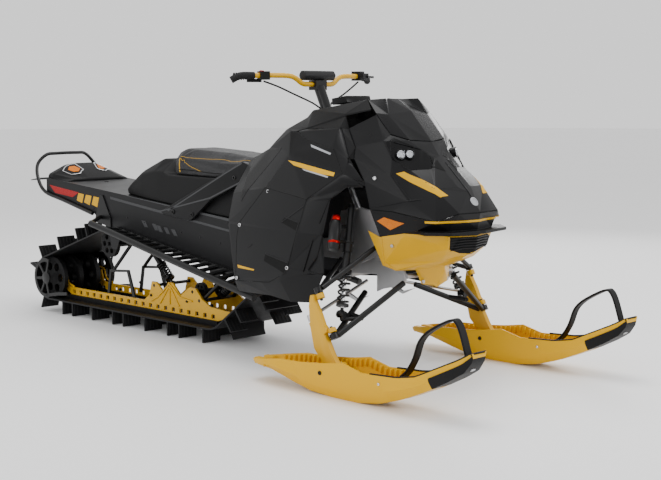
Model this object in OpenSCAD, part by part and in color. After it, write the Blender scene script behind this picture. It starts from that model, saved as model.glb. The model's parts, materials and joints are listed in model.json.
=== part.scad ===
// Mountain snowmobile: +X forward, +Y to the rider's left, +Z up, millimetres.
// The origin is on the snow, midway along the machine, on its centre plane.

/* [Track] */
// Width of the track belt
track_w = 386; // [330:2:420]
// Height of the lugs that stand on the snow
lug_h = 66; // [38:1:76]
// Thickness of the belt carcass
belt_t = 8; // [6:1:10]
// Number of lug rows around the loop
lug_rows = 45; // [40:5:50]
// Place of the rear axle along the machine
rear_axle_x = -1497; // [-1560:1:-1380]
// Outer radius of the belt around the rear wheels
rear_belt_r = 118; // [105:1:126]
// Outer radius of the belt around the drive wheels
drive_belt_r = 107; // [100:1:115]
// Height of the drive shaft
drive_z = 380; // [360:1:395]

/* [Tunnel] */
// Gap between the track edge and the tunnel wall
track_gap = 8; // [6:1:20]
// Thickness of the tunnel sheet
sheet_t = 4; // [3:0.5:6]
// Radius of the accessory holes in the tunnel's deck
deck_hole_r = 13; // [10:0.5:16]
// Distance between the accessory holes, along the deck
deck_hole_pitch = 343; // [300:1:380]
// How far the running boards reach out from the tunnel
board_w = 125; // [100:1:160]
// Radius of the running board edge tube
board_tube_r = 16; // [12:1:20]

/* [Body] */
// Thickness of the moulded body panels
panel_t = 5; // [3:0.5:7]
// Height of the seat's crown above the snow
seat_top = 896; // [870:1:930]

/* [Steering] */
// Width over the ends of the handlebar
bar_w = 836; // [740:2:900]
// Radius of the handlebar tube
bar_r = 11; // [10:0.5:13]
// Lean of the steering post from upright
post_lean = 25.6; // [20:0.1:32]
// Lean of the kingpins from upright
caster = 26.6; // [22:0.1:30]

/* [Skis] */
// Distance between the two ski centres
stance = 990; // [930:2:1080]
// Width of one ski
ski_w = 170; // [140:1:200]
// Thickness of the ski's floor
ski_t = 12; // [8:1:16]
// Radius of the ski's saddle bolt
bolt_r = 7; // [6:0.5:9]
// Radial running clearance at pins
pin_gap = 0.05; // [0.02:0.01:0.1]

/* [Hidden] */
black = [0.10, 0.10, 0.11];
dark = [0.20, 0.20, 0.21];
grey = [0.62, 0.63, 0.64];
steel = [0.72, 0.73, 0.75];
yellow = [0.93, 0.66, 0.07];
red = [0.78, 0.08, 0.08];
amber = [0.95, 0.45, 0.05];
seat_gap = 0.3;
$fn = 32;

// ---- shared shapes -------------------------------------------------------

// A straight round bar between two points
module rod(a, b, r) {
  d = b - a;
  len = norm(d);
  translate(a) rotate([0, acos(d.z / len), atan2(d.y, d.x)]) cylinder(h = len, r = r);
}

// Points of a smooth curve through a list of points, k steps to each stretch
function bow(a, b, c, d, t) = 0.5 * (2 * b + (c - a) * t + (2 * a - 5 * b + 4 * c - d) * t * t
  + (3 * b - a - 3 * c + d) * t * t * t);
function smooth(p, k) = let (n = len(p)) concat([for (i = [0:n - 2]) for (j = [0:k - 1])
  bow(p[max(i - 1, 0)], p[i], p[i + 1], p[min(i + 2, n - 1)], j / k)], [p[n - 1]]);
function unit(v) = v / norm(v);
function ahead(p, i) = unit(p[min(i + 1, len(p) - 1)] - p[max(i - 1, 0)]);

// A bent round tube through a list of points; its side is never along the vector side
module tube(path, r, sides = 12, side = [0, 1, 0]) {
  rings = [for (i = [0:len(path) - 1]) let (t = ahead(path, i), u = unit(cross(t, side)), w = cross(u, t))
    [for (k = [0:sides - 1]) path[i] + r * (cos(360 * k / sides) * u + sin(360 * k / sides) * w)]];
  loft(rings);
}

// A plate whose outline is drawn in the side view, between two widths
module side_plate(outline, y0, y1) {
  translate([0, y1, 0]) rotate([90, 0, 0]) linear_extrude(y1 - y0) polygon(outline);
}

// Both sides of the machine
module both() {
  children();
  mirror([0, 1, 0]) children();
}

function flip_y(p) = [p.x, -p.y, p.z];
function turned(f) = [for (i = [len(f) - 1:-1:0]) f[i]];
function centre(v, f) = [for (k = [0:2]) [for (i = f) v[i][k]] * [for (i = f) 1] / len(f)];
function normal(v, f) = cross(v[f[1]] - v[f[0]], v[f[2]] - v[f[0]]);
function inward(p, d) = [d.x, abs(p.y) < 0.01 ? 0 : -sign(p.y) * d.y, d.z];

// How far the faces look away from the direction d, added up over the panel
function lean(v, f, d) = [for (q = f) normal(v, q) * inward(centre(v, q), d)] * [for (q = f) 1];

// The faces of a panel all wound alike, so that the direction d lies behind them
function facing(v, f, d) = lean(v, f, d) > 0 ? f : [for (q = f) turned(q)];

// Polygons cut into triangles that share their first corner
function fan(f) = [for (q = f) for (i = [1:len(q) - 2]) [q[0], q[i], q[i + 1]]];

// A moulded panel: polygons f on points v, made solid by the thickness vector d
module panel(v, f, d) {
  n = len(v);
  top = facing(v, fan(f), d);
  low = [for (q = top) [for (i = turned(q)) i + n]];
  edges = [for (q = top) for (i = [0:len(q) - 1]) [q[i], q[(i + 1) % len(q)]]];
  rim = [for (e = edges)
    if (len([for (g = edges) if (g[0] == e[1] && g[1] == e[0]) 1]) == 0) [e[1], e[0], e[0] + n, e[1] + n]];
  polyhedron(concat(v, [for (p = v) p + inward(p, d)]), concat(top, low, fan(rim)));
}

// The same, from the right-hand half of a panel that crosses the centre plane
module panel_both(v, f, d) {
  n = len(v);
  other = [for (q = f) [for (i = turned(q)) v[i].y == 0 ? i : i + n]];
  panel(concat(v, [for (p = v) flip_y(p)]), concat(f, other), d);
}

// A solid through a row of rings that have the same number of points
module loft(rings) {
  n = len(rings[0]);
  m = len(rings);
  sides = [for (i = [0:m - 2]) for (j = [0:n - 1])
    [i * n + j, i * n + (j + 1) % n, (i + 1) * n + (j + 1) % n, (i + 1) * n + j]];
  caps = [[for (j = [n - 1:-1:0]) j], [for (j = [0:n - 1]) (m - 1) * n + j]];
  polyhedron([for (r = rings) for (p = r) p], fan(concat(sides, caps)));
}

// A symmetric ring across the machine: half widths and heights from bottom to top
function hoop(x, pts) = concat([for (p = pts) [x, -p[0], p[1]]], [for (p = turned(pts)) [x, p[0], p[1]]]);

// ---- track and tunnel lines ---------------------------------------------

half_track = track_w / 2;
tunnel_in = half_track + track_gap;
tunnel_out = tunnel_in + sheet_t;
rear_axle = [rear_axle_x, lug_h + 2 + rear_belt_r];
drive_axle = [96, drive_z];
bottom_z = lug_h + 2;
upper_idler = [-985, 405];
upper_r = 68;
slope_a = 36.9;
lift_a = 18.8;
// Outer line of the belt, as circles that the belt wraps: centre, radius, first and last angle
slope_start = [drive_axle.x + drive_belt_r * sin(slope_a), drive_axle.y - drive_belt_r * cos(slope_a)];
front_bend_r = 130;
bend_x = slope_start.x - (slope_start.y - bottom_z) / tan(slope_a) - front_bend_r * tan(slope_a / 2);
upper_a = atan2(drive_axle.y + drive_belt_r - upper_idler.y - upper_r - belt_t, drive_axle.x - upper_idler.x);
function arc(c, r, a0, a1, steps) = [for (i = [0:steps]) let (a = a0 + (a1 - a0) * i / steps)
  [c.x + r * cos(a), c.y + r * sin(a)]];
function belt_line(off) = concat(
  arc(rear_axle, rear_belt_r - off, 270, 90 + lift_a, 24),
  arc(upper_idler, upper_r + belt_t - off, 90 + lift_a, 90 + upper_a, 2),
  arc(drive_axle, drive_belt_r - off, 90, -90 + slope_a, 12),
  arc([bend_x, bottom_z + front_bend_r], front_bend_r - off, -90 + slope_a, -90, 4));

// Top and lower edge of the tunnel side, from the tail to the front
tunnel_rear = -1472;
tunnel_front = 330;
function tunnel_top(x) = 601 - 0.083 * x;
tunnel_rise = atan(0.083);
deck_holes = [-880, -880 - deck_hole_pitch];
function tunnel_low(x) = 350 - 0.16 * x;
tunnel_side = [[tunnel_rear, tunnel_top(tunnel_rear)], [tunnel_rear, 648], [-1047, 560], [-950, tunnel_low(-950)],
  [tunnel_front, tunnel_low(tunnel_front)], [tunnel_front, tunnel_top(tunnel_front)]];

// Where the two skid arms hang from the tunnel
pivot_x = [-880, -110];
pivot_z = [410, 340];

module tunnel() {
  color(dark) both() for (i = [0, 1]) side_plate([[pivot_x[i] - 50, tunnel_low(pivot_x[i] - 50)],
    [pivot_x[i] - 22, pivot_z[i] - 18], [pivot_x[i] + 22, pivot_z[i] - 18], [pivot_x[i] + 60, tunnel_low(pivot_x[i] + 60)]],
    -tunnel_out, -tunnel_in);
  color(dark) difference() {
    side_plate(tunnel_side, -tunnel_out, tunnel_out);
    translate([0, 0, -sheet_t]) side_plate([[tunnel_rear - 9, tunnel_top(tunnel_rear - 9)],
      [tunnel_rear - 9, 0], [tunnel_front + 9, 0], [tunnel_front + 9, tunnel_top(tunnel_front + 9)]],
      -tunnel_in, tunnel_in);
    for (x = deck_holes) translate([x, 0, tunnel_top(x)]) rotate([0, tunnel_rise, 0])
      cylinder(h = 4 * sheet_t, r = deck_hole_r, center = true);
  }
}

module tail_cover() {
  z0 = seat_gap;
  color(black) loft([
    hoop(-1528, [[150, tunnel_top(-1528) + z0], [150, 738], [110, 742]]),
    hoop(-1470, [[196, tunnel_top(-1470) + z0], [190, 742], [90, 786]]),
    hoop(-1430, [[200, tunnel_top(-1430) + z0], [190, 745], [60, 796]]),
    hoop(-1290, [[196, tunnel_top(-1290) + z0], [150, 720], [60, 722]])]);
}

module tail_light() {
  color(red) translate([-1529.8, -100, 730]) cube([3, 80, 10], center = true);
}
module tail_lights() both() tail_light();

bumper_y = tunnel_out + seat_gap + 9;
bumper_half = [[-1047, -bumper_y, 559], [-1300, -bumper_y, 612], [-1470, -bumper_y, 648], [-1545, -208, 712],
  [-1592, -180, 786], [-1592, -125, 836], [-1584, -60, 843]];
module rear_bumper() color(black)
  tube(smooth(concat(bumper_half, [for (p = turned(bumper_half)) flip_y(p)]), 5), 9, 12, [1, 0, 0.3]);

module snow_flap() {
  flap = [[-1647, 700], [-1647, 704], [-1560, 718], [tunnel_rear + 30, 716], [tunnel_rear + 30, 712], [-1560, 714]];
  color(black) side_plate(flap, -190, 190);
}

board_y0 = tunnel_out + seat_gap;
board_y1 = tunnel_out + board_w;
board_rear = -840;
board_front = 300;
function tube_z(x) = 348 - 0.2 * x;
module running_board() {
  step = 62;
  color(black) {
    rod([board_rear - 60, -board_y1, tube_z(board_rear - 60)], [board_front, -board_y1, tube_z(board_front)],
      board_tube_r);
    side_plate([[board_rear, tunnel_low(board_rear)], [board_front, tunnel_low(board_front)],
      [board_front, tunnel_low(board_front) + 22], [board_rear, tunnel_low(board_rear) + 22]],
      -board_y0 - 12, -board_y0);
    for (x = [board_rear:step:board_front - 20])
      loft([hoop_slice(x), hoop_slice(x + 22)]);
    side_plate([[-1034, 520], [-990, 655], [-965, 655], [-900, 545], [-900, 500]], -board_y0 - 6, -board_y0);
    rod([board_rear - 60, -board_y1, tube_z(board_rear - 60)], [-985, -board_y0 - 8, 545], 10);
  }
}
function hoop_slice(x) = [[x, -board_y1, tube_z(x) - 4], [x, -board_y1, tube_z(x) + 6],
  [x, -board_y0 - 6, tunnel_low(x) + 16], [x, -board_y0 - 6, tunnel_low(x) + 6]];
module running_board_right() running_board();
module running_board_left() mirror([0, 1, 0]) running_board();

module side_braces() {
  strut = [[-476, 607], [-455, 593], [-258, 575], [-236, 588], [-111, 681], [6, 729], [120, 775], [150, 850],
    [110, 862], [-5, 812]];
  color(dark) both() side_plate(strut, -tunnel_out - 22, -tunnel_out - seat_gap);
}

seat_base = 780;
function tank_base(x) = tunnel_top(x) + seat_gap;
module tank_cover() {
  color(black) loft([
    hoop(-815, [[165, tank_base(-815)], [168, tank_base(-815) + 30], [150, tank_base(-815) + 34]]),
    hoop(-698, [[180, tank_base(-698)], [172, 770], [150, 789]]),
    hoop(-590, [[188, tank_base(-590)], [170, 790], [110, 850]]),
    hoop(-530, [[190, tank_base(-530)], [170, 788], [90, 848]]),
    hoop(-490, [[190, tank_base(-490)], [170, 776], [90, seat_base]]),
    hoop(-100, [[196, tank_base(-100)], [176, 776], [120, seat_base]]),
    hoop(250, [[180, tank_base(250)], [170, 800], [120, 830]])]);
}

module seat() {
  color(dark) loft([
    hoop(-484, [[128, seat_base + seat_gap], [126, 850], [100, 884]]),
    hoop(-440, [[146, seat_base + seat_gap], [138, 862], [100, seat_top]]),
    hoop(-150, [[166, seat_base + seat_gap], [152, 848], [105, seat_top - 12]]),
    hoop(0, [[168, 808], [152, 848], [95, seat_top - 26]]),
    hoop(112, [[150, 850], [130, 858], [90, seat_top - 34]])]);
}

// ---- body panels ---------------------------------------------------------

// Corners that two panels share, on the right-hand side
cowl_rear = [504, -206, 1013];
cowl_top = [717, -198, 1078];
fender_top = [716, -235, 1021];
fender_mid = [794, -268, 899];
fender_low = [866, -262, 826];
slot_top = [745, -206, 1020];
slot_mid = [806, -230, 948];
fang_rear = [812, -246, 900];
fang_low = [874, -255, 815];
hood_low = [[907, -254, 702], [1022, -250, 701], [1203, -200, 668], [1257, -122, 698], [1264, 0, 696]];
glass_low = [[860, -170, 1080], [938, -165, 996], [985, -108, 974], [1010, 0, 966]];
trim_low = [[950, -242, 594], [1060, -222, 614], [1216, -134, 608], [1246, 0, 604]];
lamp_corners = [[954, -186, 972], [1022, -86, 940], [1058, -40, 902], [1078, -82, 862], [1045, -168, 860],
  [982, -208, 902]];
hood_d = [-3, 3, -3];

module console() {
  v = [[150, -140, 885], [246, -150, 955], [317, -150, 1008], [444, -150, 1060], [480, -150, 1091], [786, -150, 1134],
    [150, 0, 900], [246, 0, 968], [317, 0, 1020], [420, 0, 1075], [500, 0, 1110], [786, 0, 1140],
    [215, -196, 860], [300, -205, 905], [430, -212, 1000], cowl_rear + [0, 0, 6], cowl_top, [838, -176, 1098]];
  f = [[0, 1, 7, 6], [1, 2, 8, 7], [2, 3, 9, 8], [3, 4, 10, 9], [4, 5, 11, 10], [0, 12, 13, 1], [1, 13, 14, 2],
    [2, 14, 15, 3], [3, 15, 4], [4, 15, 16, 5], [5, 16, 17]];
  color(black) difference() {
    panel_both(v, f, [0, 3, -panel_t]);
    translate([404, 0, 1110]) rotate([0, -post_lean, 0]) cylinder(h = 200, r = 72, center = true);
  }
}

// The instrument display stands on the console behind the windshield
module gauge() {
  color(black) side_plate([[520, 1112.5], [610, 1122.6], [600, 1152], [516, 1140]], -75, 75);
}

// The inner cowl closes the air intake slot between the console, hood and side panel
module cowl() {
  under = [-3.2, 3.2, -3.2];
  v = [cowl_rear + [0, 0, 1], cowl_top + [0, 3.3, -6], slot_top + under, slot_mid + under,
    fang_rear + under, fender_mid + [0, panel_t + seat_gap, 0], fender_top + [0, panel_t + seat_gap, 0]];
  f = [[0, 1, 6], [1, 2, 6], [2, 3, 6], [3, 5, 6], [3, 4, 5]];
  color(black) both() panel(v, f, [0, 3, 0]);
}

module side_panel() {
  v = [
    [428, -232, 1003], [450, -262, 912], [375, -330, 767], [280, -214, 927], [153, -212, 872], [138, -300, 737],
    [150, -345, 605], [211, -365, 363], [218, -350, 311],
    [473, -232, 1004], [590, -252, 964], [716, -270, 944], [808, -300, 843], [678, -380, 734],
    [874, -262, 803], [803, -330, 814], [647, -402, 602], [587, -412, 454], [543, -412, 401], [424, -400, 376],
    [227, -372, 359],
    [874, -262, 787], [823, -300, 788], [772, -340, 742], [735, -372, 588], [729, -390, 441], [722, -400, 322],
    [612, -410, 314], [478, -400, 325], cowl_rear, fender_top, fender_mid, fender_low];
  f = [[1, 0, 9], [1, 9, 10], [1, 10, 11, 12], [1, 12, 13, 2], [3, 0, 1], [3, 1, 2], [3, 2, 5, 4], [5, 2, 6],
    [2, 13, 16, 6], [6, 16, 17, 7], [7, 17, 18, 19, 20], [20, 19, 28, 8], [7, 20, 8], [19, 18, 27, 28],
    [18, 17, 25, 27], [27, 25, 26], [17, 16, 24, 25], [16, 13, 23, 24], [13, 15, 22, 23], [15, 14, 21, 22],
    [13, 12, 15], [12, 32, 14, 15], [9, 29, 30, 10], [10, 30, 11], [11, 30, 31, 12], [12, 31, 32]];
  color(black) panel(v, f, [0, panel_t, 0]);
}
module side_panel_right() side_panel();
module side_panel_left() mirror([0, 1, 0]) side_panel();

module hood() {
  v = concat([[1203, 0, 773], [1183, -40, 792], [1156, -150, 790], [1072, -215, 741], [985, -222, 837],
    [933, -205, 973], [864, -172, 1076]], hood_low, lamp_corners, glass_low,
    [slot_top, slot_mid, fang_rear, fang_low, [1052, 0, 910]]);
  // 7 hood_low, 12 lamp_corners, 18 glass_low, 22 slot_top and on
  f = [[26, 14, 1, 0], [14, 15, 2, 1], [15, 16, 2], [0, 1, 2, 10, 11], [16, 17, 4], [16, 4, 3, 2], [2, 3, 9, 10],
    [3, 8, 9], [3, 4, 24, 25], [3, 25, 7, 8], [17, 12, 5], [17, 5, 23, 4], [4, 23, 24], [5, 6, 22, 23],
    [12, 19, 5], [5, 19, 18, 6], [12, 13, 20, 19], [13, 14, 26, 21, 20]];
  color(black) panel_both(v, f, hood_d);
}

module windshield() {
  up = [0, 0, 3 + seat_gap];
  v = [[790, -142, 1136.4], [825, -60, 1139.4], [830, 0, 1137.4], glass_low[0] + up, glass_low[1] + up, glass_low[2] + up,
    glass_low[3] + up, [850, -100, 1142], [885, -120, 1075], [900, 0, 1090]];
  f = [[0, 7, 8, 3], [7, 1, 8], [1, 2, 9, 8], [3, 8, 4], [8, 5, 4], [8, 9, 6, 5]];
  color(dark) panel_both(v, f, [-3, 2, -3]);
}

// Each headlight: a recessed bezel behind the hood's opening, and its lens
module headlights() {
  back = [for (p = lamp_corners) p + [-3 - seat_gap, 3 + seat_gap, -3 - seat_gap]];
  v = concat(back, [[985, -150, 935], [1030, -70, 905]]);
  f = [[0, 1, 6], [1, 7, 6], [1, 2, 7], [2, 3, 7], [3, 6, 7], [3, 4, 6], [4, 5, 6], [5, 0, 6]];
  color(black) both() panel(v, f, [-3, 1, -2]);
  color(grey) both() translate([1015, -155, 925]) rotate([0, 24, -42]) cube([44, 66, 36], center = true);
}

lip = [[1120, -212], [1180, -238], [1262, -172], [1292, 0]];
module front_trim() {
  top = [for (p = hood_low) p + [0, 0, -3 - seat_gap]];
  v = concat(top, trim_low, [[1216, -134, 626], [1250, 0, 626], [1113, -212, 626]]);
  f = [[0, 1, 6, 5], [1, 2, 11, 6], [2, 3, 9, 11], [3, 4, 10, 9], [6, 11, 9, 7], [7, 9, 10, 8]];
  color(black) panel_both(v, f, [-4, 4, 0]);
  inner = [[1245, 0], [1213, -128], [1120, -205]];
  color(black) translate([0, 0, 614]) linear_extrude(12)
    polygon(concat(lip, [for (p = turned(lip)) [p.x, -p.y]], [for (p = turned(inner)) [p.x, -p.y]], inner));
}

module belly_pan() {
  top = [for (p = trim_low) p + [0, 0, -1 - seat_gap]];
  v = concat(top, [[884, -240, 614], [944, -212, 481], [991, -190, 456], [1026, -100, 454], [1085, 0, 468],
    [1205, -122, 554], [1233, 0, 536], [1154, -100, 504], [1165, 0, 500], [1034, -84, 396], [1041, 0, 382]]);
  f = [[4, 0, 5], [0, 1, 5], [1, 2, 9, 5], [5, 9, 11, 6], [6, 11, 7], [7, 11, 12, 8], [11, 9, 10, 12],
    [2, 3, 10, 9], [7, 8, 14, 13]];
  color(yellow) panel_both(v, f, [-4, 4, 1]);
}

// ---- frame and engine ----------------------------------------------------

frame_y = 196;
post_top = [359, 0, 1205];
post_dir = [-sin(post_lean), 0, cos(post_lean)];
engine_box = [[345, -180, 424], [690, 180, 754]];
bearing = post_top + (-262) * post_dir;
module front_frame() {
  upper = [[790, 700], [860, 690], [905, 600], [898, 512], [800, 470], [700, 470], [660, 560], [690, 680]];
  lower = [[700, 500], [890, 520], [988, 475], [1004, 420], [985, 392], [875, 366], [735, 300], [640, 330],
    [640, 418], [700, 418]];
  window = [[655, 415], [850, 425], [850, 345], [735, 312], [655, 345]];
  color(grey) {
    both() side_plate(upper, -frame_y, -frame_y + 12);
    both() difference() {
      side_plate(lower, -150, -138);
      side_plate(window, -160, -120);
    }
    for (p = [[720, 485], [880, 500]])
      translate([p.x, 0, p.y]) rotate([90, 0, 0]) cylinder(h = 2 * frame_y - 20, r = 13, center = true);
    translate([1000, 0, 430]) rotate([90, 0, 0]) cylinder(h = 280, r = 11, center = true);
    both() rod([bearing.x + 10, -34, bearing.z - 10], [785, -frame_y + 8, 690], 12);
    both() side_plate([[300, 480], [300, 560], [720, 560], [720, 480]], -tunnel_in + seat_gap, -tunnel_in + 15);
    difference() {
      translate(bearing - [0, 0, 14]) cube([60, 92, 40], center = true);
      along_post(-400) cylinder(h = 400, r = 14 + pin_gap);
    }
    side_plate([[640, 400], [640, engine_box[0].z - seat_gap], [700, engine_box[0].z - seat_gap], [700, 400]], -139, 139);
  }
}

module engine() {
  color(dark) translate(engine_box[0]) cube(engine_box[1] - engine_box[0]);
}

// ---- steering ------------------------------------------------------------

module along_post(s) translate(post_top + s * post_dir) rotate([0, -post_lean, 0]) children();

module steering_post() {
  color(black) {
    along_post(-304) cylinder(h = 288, r = 14);
    along_post(-130) cylinder(h = 108, r = 24);
    difference() {
      translate(post_top + [0, 0, clamp_top - 21]) cube([46, 66, 42], center = true);
      translate(post_top + [0, 0, bar_half[0].z]) rotate([90, 0, 0]) cylinder(h = 80, r = bar_r + seat_gap, center = true);
    }
  }
}

clamp_top = 13;
// Centre line of the bar's left half, from the clamp to the hooked end, from the post's top
bar_half = [[0, 0, -4], [0, 60, -4], [-1, 96, 0], [-8, 150, 29], [-22, 250, 33], [-48, 330, 32], [-72, 386, 31],
  [-96, bar_w / 2, 12]];
module handlebar() {
  half = [for (i = [5:-1:0]) bar_half[i]];
  whole = concat([for (p = half) flip_y(p)], [for (i = [1:5]) bar_half[i]]);
  color(yellow) translate(post_top) tube(smooth(whole, 4), bar_r, 16, [0, 0, 1]);
}

module hand_grips() {
  color(black) translate(post_top) both() {
    start = bar_half[5] + [-0.3, 0.6, 0];
    tube(smooth([start, bar_half[6], bar_half[7]], 5), 15, 16, [0, 0, 1]);
  }
}

module bar_pad() {
  pad_r = 24;
  color(black) translate(post_top + [-2, 0, clamp_top + seat_gap + pad_r * sin(60)]) rotate([90, 0, 0])
    cylinder(h = 190, r = pad_r, center = true, $fn = 6);
}

control_y = 290;
control_at = [-34, control_y, 33];
module on_bar() translate(post_top + control_at) rotate([0, 0, 18]) children();
module bar_clearance() rotate([90, 0, 0]) cylinder(h = 70, r = bar_r + 0.9, center = true);

// The right-hand block with the thumb lever and switches
module throttle_control() color(black) mirror([0, 1, 0]) on_bar() {
  difference() {
    translate([0, 0, -1]) cube([40, 42, 36], center = true);
    bar_clearance();
  }
  translate([-22, 34, -22]) rotate([0, 0, 4]) cube([9, 64, 14], center = true);
  translate([-22, 8, -17.5]) cube([9, 14, 23], center = true);
}

// The left-hand block with the brake's reservoir and lever
module brake_control() color(black) on_bar() {
  difference() {
    union() {
      translate([0, 0, 2]) cube([44, 44, 42], center = true);
      translate([26, 4, 4]) cube([24, 60, 20], center = true);
    }
    bar_clearance();
  }
  translate([34, 60, -2]) rotate([0, 0, 8]) cube([8, 90, 10], center = true);
}

// Route of the cables, from the right-hand control to the foot of the post
cable_route = [[-34, -290, 8], [-10, -230, -14], [10, -150, -48], [26, -60, -84], [50, -27.6, -112]];
module bar_cables() {
  color(black) translate(post_top) {
    tube(smooth(cable_route, 3), 4, 8, [1, 0, 0]);
    tube(smooth([for (p = cable_route) flip_y(p)], 3), 4, 8, [1, 0, 0]);
  }
}

// ---- front suspension ----------------------------------------------------

king_y = stance / 2 - 23;
low_ball = [918, -king_y, 224];
king_dir = [-sin(caster), 0, cos(caster)];
king_len = 185;
module on_kingpin(s) translate(low_ball + s * king_dir) rotate([0, -caster, 0]) children();
eye_r = 17;
stud_r = 6;

module suspension_arm() {
  difference() {
    union() {
      rod([1003, -157, 405], [922, -king_y + 20, 221], 12);
      rod([790, -157, 345], [908, -king_y + 20, 216], 12);
      rod([935, -330, 275], [850, -310, 281], 10);
      on_kingpin(-16) cylinder(h = 22, r = eye_r);
      on_kingpin(-16) cylinder(h = 52, r = stud_r);
      translate(shock_low + [-14, 0, -6]) rotate([0, 90, 0]) cylinder(h = 8, r = 15, center = true);
      translate(shock_low + [14, 0, -6]) rotate([0, 90, 0]) cylinder(h = 8, r = 15, center = true);
      rod(shock_low + [0, 0, -26], [935, -330, 275], 9);
      rod(shock_low + [0, 0, -26], [850, -310, 281], 9);
    }
  }
  rod([893, -frame_y - 5.4, 545], [842, -king_y + 14, 400], 10);
  rod([700, -tunnel_in - 5.4, 480], [828, -king_y + 14, 394], 10);
  on_kingpin(king_len - 6) cylinder(h = 20, r = eye_r);
  on_kingpin(king_len - 40) cylinder(h = 50, r = stud_r);
}
module suspension_arms() color(black) both() suspension_arm();

module on_line(a, b, s) {
  d = b - a;
  translate(a + s * d / norm(d)) rotate([0, acos(d.z / norm(d)), atan2(d.y, d.x)]) children();
}

// A coil-over from its lower eye a to its upper eye b: shaft, body, two spring seats and the coil
module coil_over(a, b, r, spring, eye = [0, 90, 0]) {
  len = norm(b - a);
  turns = 6;
  wire = 4.5;
  foot = 28;
  rise = spring - foot - 8 - 2 * wire - 2 * seat_gap;
  first = foot + 8 + wire + seat_gap;
  on_line(a, b, 0) cylinder(h = len * 0.5, r = r * 0.28);
  on_line(a, b, spring - 4) cylinder(h = len - spring - 8, r = r * 0.6);
  on_line(a, b, foot) cylinder(h = 8, r = r);
  on_line(a, b, spring) cylinder(h = 8, r = r);
  on_line(a, b, 0) tube([for (i = [0:turns * 10]) let (g = 36 * i)
    [(r - wire) * cos(g), (r - wire) * sin(g), first + rise * min(max(g - 180, 0), 360 * (turns - 1)) / (360 * (turns - 1))]],
    wire, 6, [0, 0, 1]);
  for (p = [a, b]) translate(p) rotate(eye) cylinder(h = 17, r = 12, center = true);
}

shock_low = [872, -380, 295];
shock_up = [775, -222, 705];
module front_shocks() {
  color(black) both() coil_over(shock_low, shock_up, 26, 170);
}

saddle = [943, -stance / 2, 94];
leg_y = king_y + 16;
module spindle() {
  leg = [[816, 374], [833, 374], [836, 350], [866, 300], [884, 262], [896, 252], [902, 236], [892, 228], [937, 150],
    [962, 118], [950, 90], [925, 90], [887, 112], [837, 165], [816, 246], [808, 330]];
  color(yellow) difference() {
    union() {
      side_plate(leg, -leg_y - 12, -leg_y + 12);
      on_kingpin(11) cylinder(h = 18, r = 17);
      on_kingpin(king_len - 32) cylinder(h = 20, r = 17);
      on_tie(-34) cylinder(h = 14, r = 12);
      translate([saddle.x, -leg_y - 2, saddle.z]) rotate([90, 0, 0]) cylinder(h = 70, r = 27, center = true);
    }
    on_kingpin(-20) cylinder(h = king_len + 60, r = stud_r + pin_gap);
    on_tie(-60) cylinder(h = 60, r = 5 + pin_gap);
    translate(saddle) rotate([90, 0, 0]) cylinder(h = 90, r = bolt_r + pin_gap, center = true);
  }
}
module spindle_right() spindle();
module spindle_left() mirror([0, 1, 0]) spindle();

tie_ball = [796, -king_y - 8, 279];
tie_in = [700, -50, 374];
module on_tie(s) translate(tie_ball) rotate([0, -caster, 0]) translate([0, 0, s]) children();
module tie_rod() {
  color(steel) {
    rod(tie_ball, tie_in, 7);
    on_tie(-12) cylinder(h = 24, r = 11);
    on_tie(-38) cylinder(h = 38, r = 5);
  }
}
module tie_rod_right() tie_rod();
module tie_rod_left() mirror([0, 1, 0]) tie_rod();

// Side view of the ski's sole: place along the ski and height of its underside
sole = [[521, 72], [640, 60], [760, 30], [860, 8], [980, 0], [1120, 0], [1230, 16], [1330, 46], [1450, 96], [1560, 152],
  [1628, 194], [1648, 226], [1655, 262]];
// Half widths along the ski: narrow at the tail and the tip
ski_plan = [[521, 0.54], [600, 0.86], [690, 1], [1400, 1], [1560, 0.8], [1655, 0.5]];
// The keel is narrower than the rim, and the bilge rises between them
keel_half = 50;
bilge_h = 62;
// Half the thickness of the rim's walls
wall_t = 4;
module ski_form(y) {
  half = ski_w / 2 + 0.1;
  over = 400;
  intersection() {
    children();
    linear_extrude(over) polygon(concat([for (p = ski_plan) [p.x, y - p.y * half]],
      [for (i = [len(ski_plan) - 1:-1:0]) [ski_plan[i].x, y + ski_plan[i].y * half]]));
    translate([sole[0].x, y, 0]) rotate([90, 0, 90]) linear_extrude(sole[len(sole) - 1].x - sole[0].x)
      polygon([[-keel_half, -1], [keel_half, -1], [half, bilge_h], [half, over], [-half, over], [-half, bilge_h]]);
  }
}

module ski() {
  last = len(sole) - 1;
  top = [for (i = [last:-1:0]) sole[i] + (i > last - 2 ? [-ski_t, 4] : [0, ski_t])];
  rim = [[1643, 262], [1600, 232], [1545, 206], [1422, 150], [1334, 134], [1160, 126], [1060, 150], [968, 135], [840, 122], [717, 118],
    [600, 100], [521, 88]];
  y = -stance / 2;
  color(yellow) difference() {
    union() {
      ski_form(y) union() {
        side_plate(concat(sole, top), y - ski_w / 2, y + ski_w / 2);
        for (s = [-1, 1]) let (mid = y + s * (ski_w / 2 - wall_t))
          side_plate(concat(sole, rim), mid - wall_t, mid + wall_t);
      }
      for (s = [-1, 1]) side_plate([[880, 12], [1010, 8], [980, 118], [950, 124], [920, 118]],
        y + 5 + s * 48 - 8, y + 5 + s * 48 + 8);
      for (p = [loop_path[0], loop_path[len(loop_path) - 1]])
        side_plate([[p.x - 34, p.y - 90 + (p.x > 1500 ? 72 : 0)], [p.x + 26, p.y - 76 + (p.x > 1500 ? 74 : 0)],
          [p.x + 26, p.y - (p.x > 1500 ? 1.2 : 4.5)], [p.x - 34, p.y - (p.x > 1500 ? 1.2 : 4.5)]], y - 20, y + 20);
    }
    translate(saddle) rotate([90, 0, 0]) cylinder(h = 120, r = bolt_r - 0.5, center = true);
  }
  color(steel) translate(saddle) rotate([90, 0, 0]) cylinder(h = 140, r = bolt_r, center = true);
}
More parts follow.
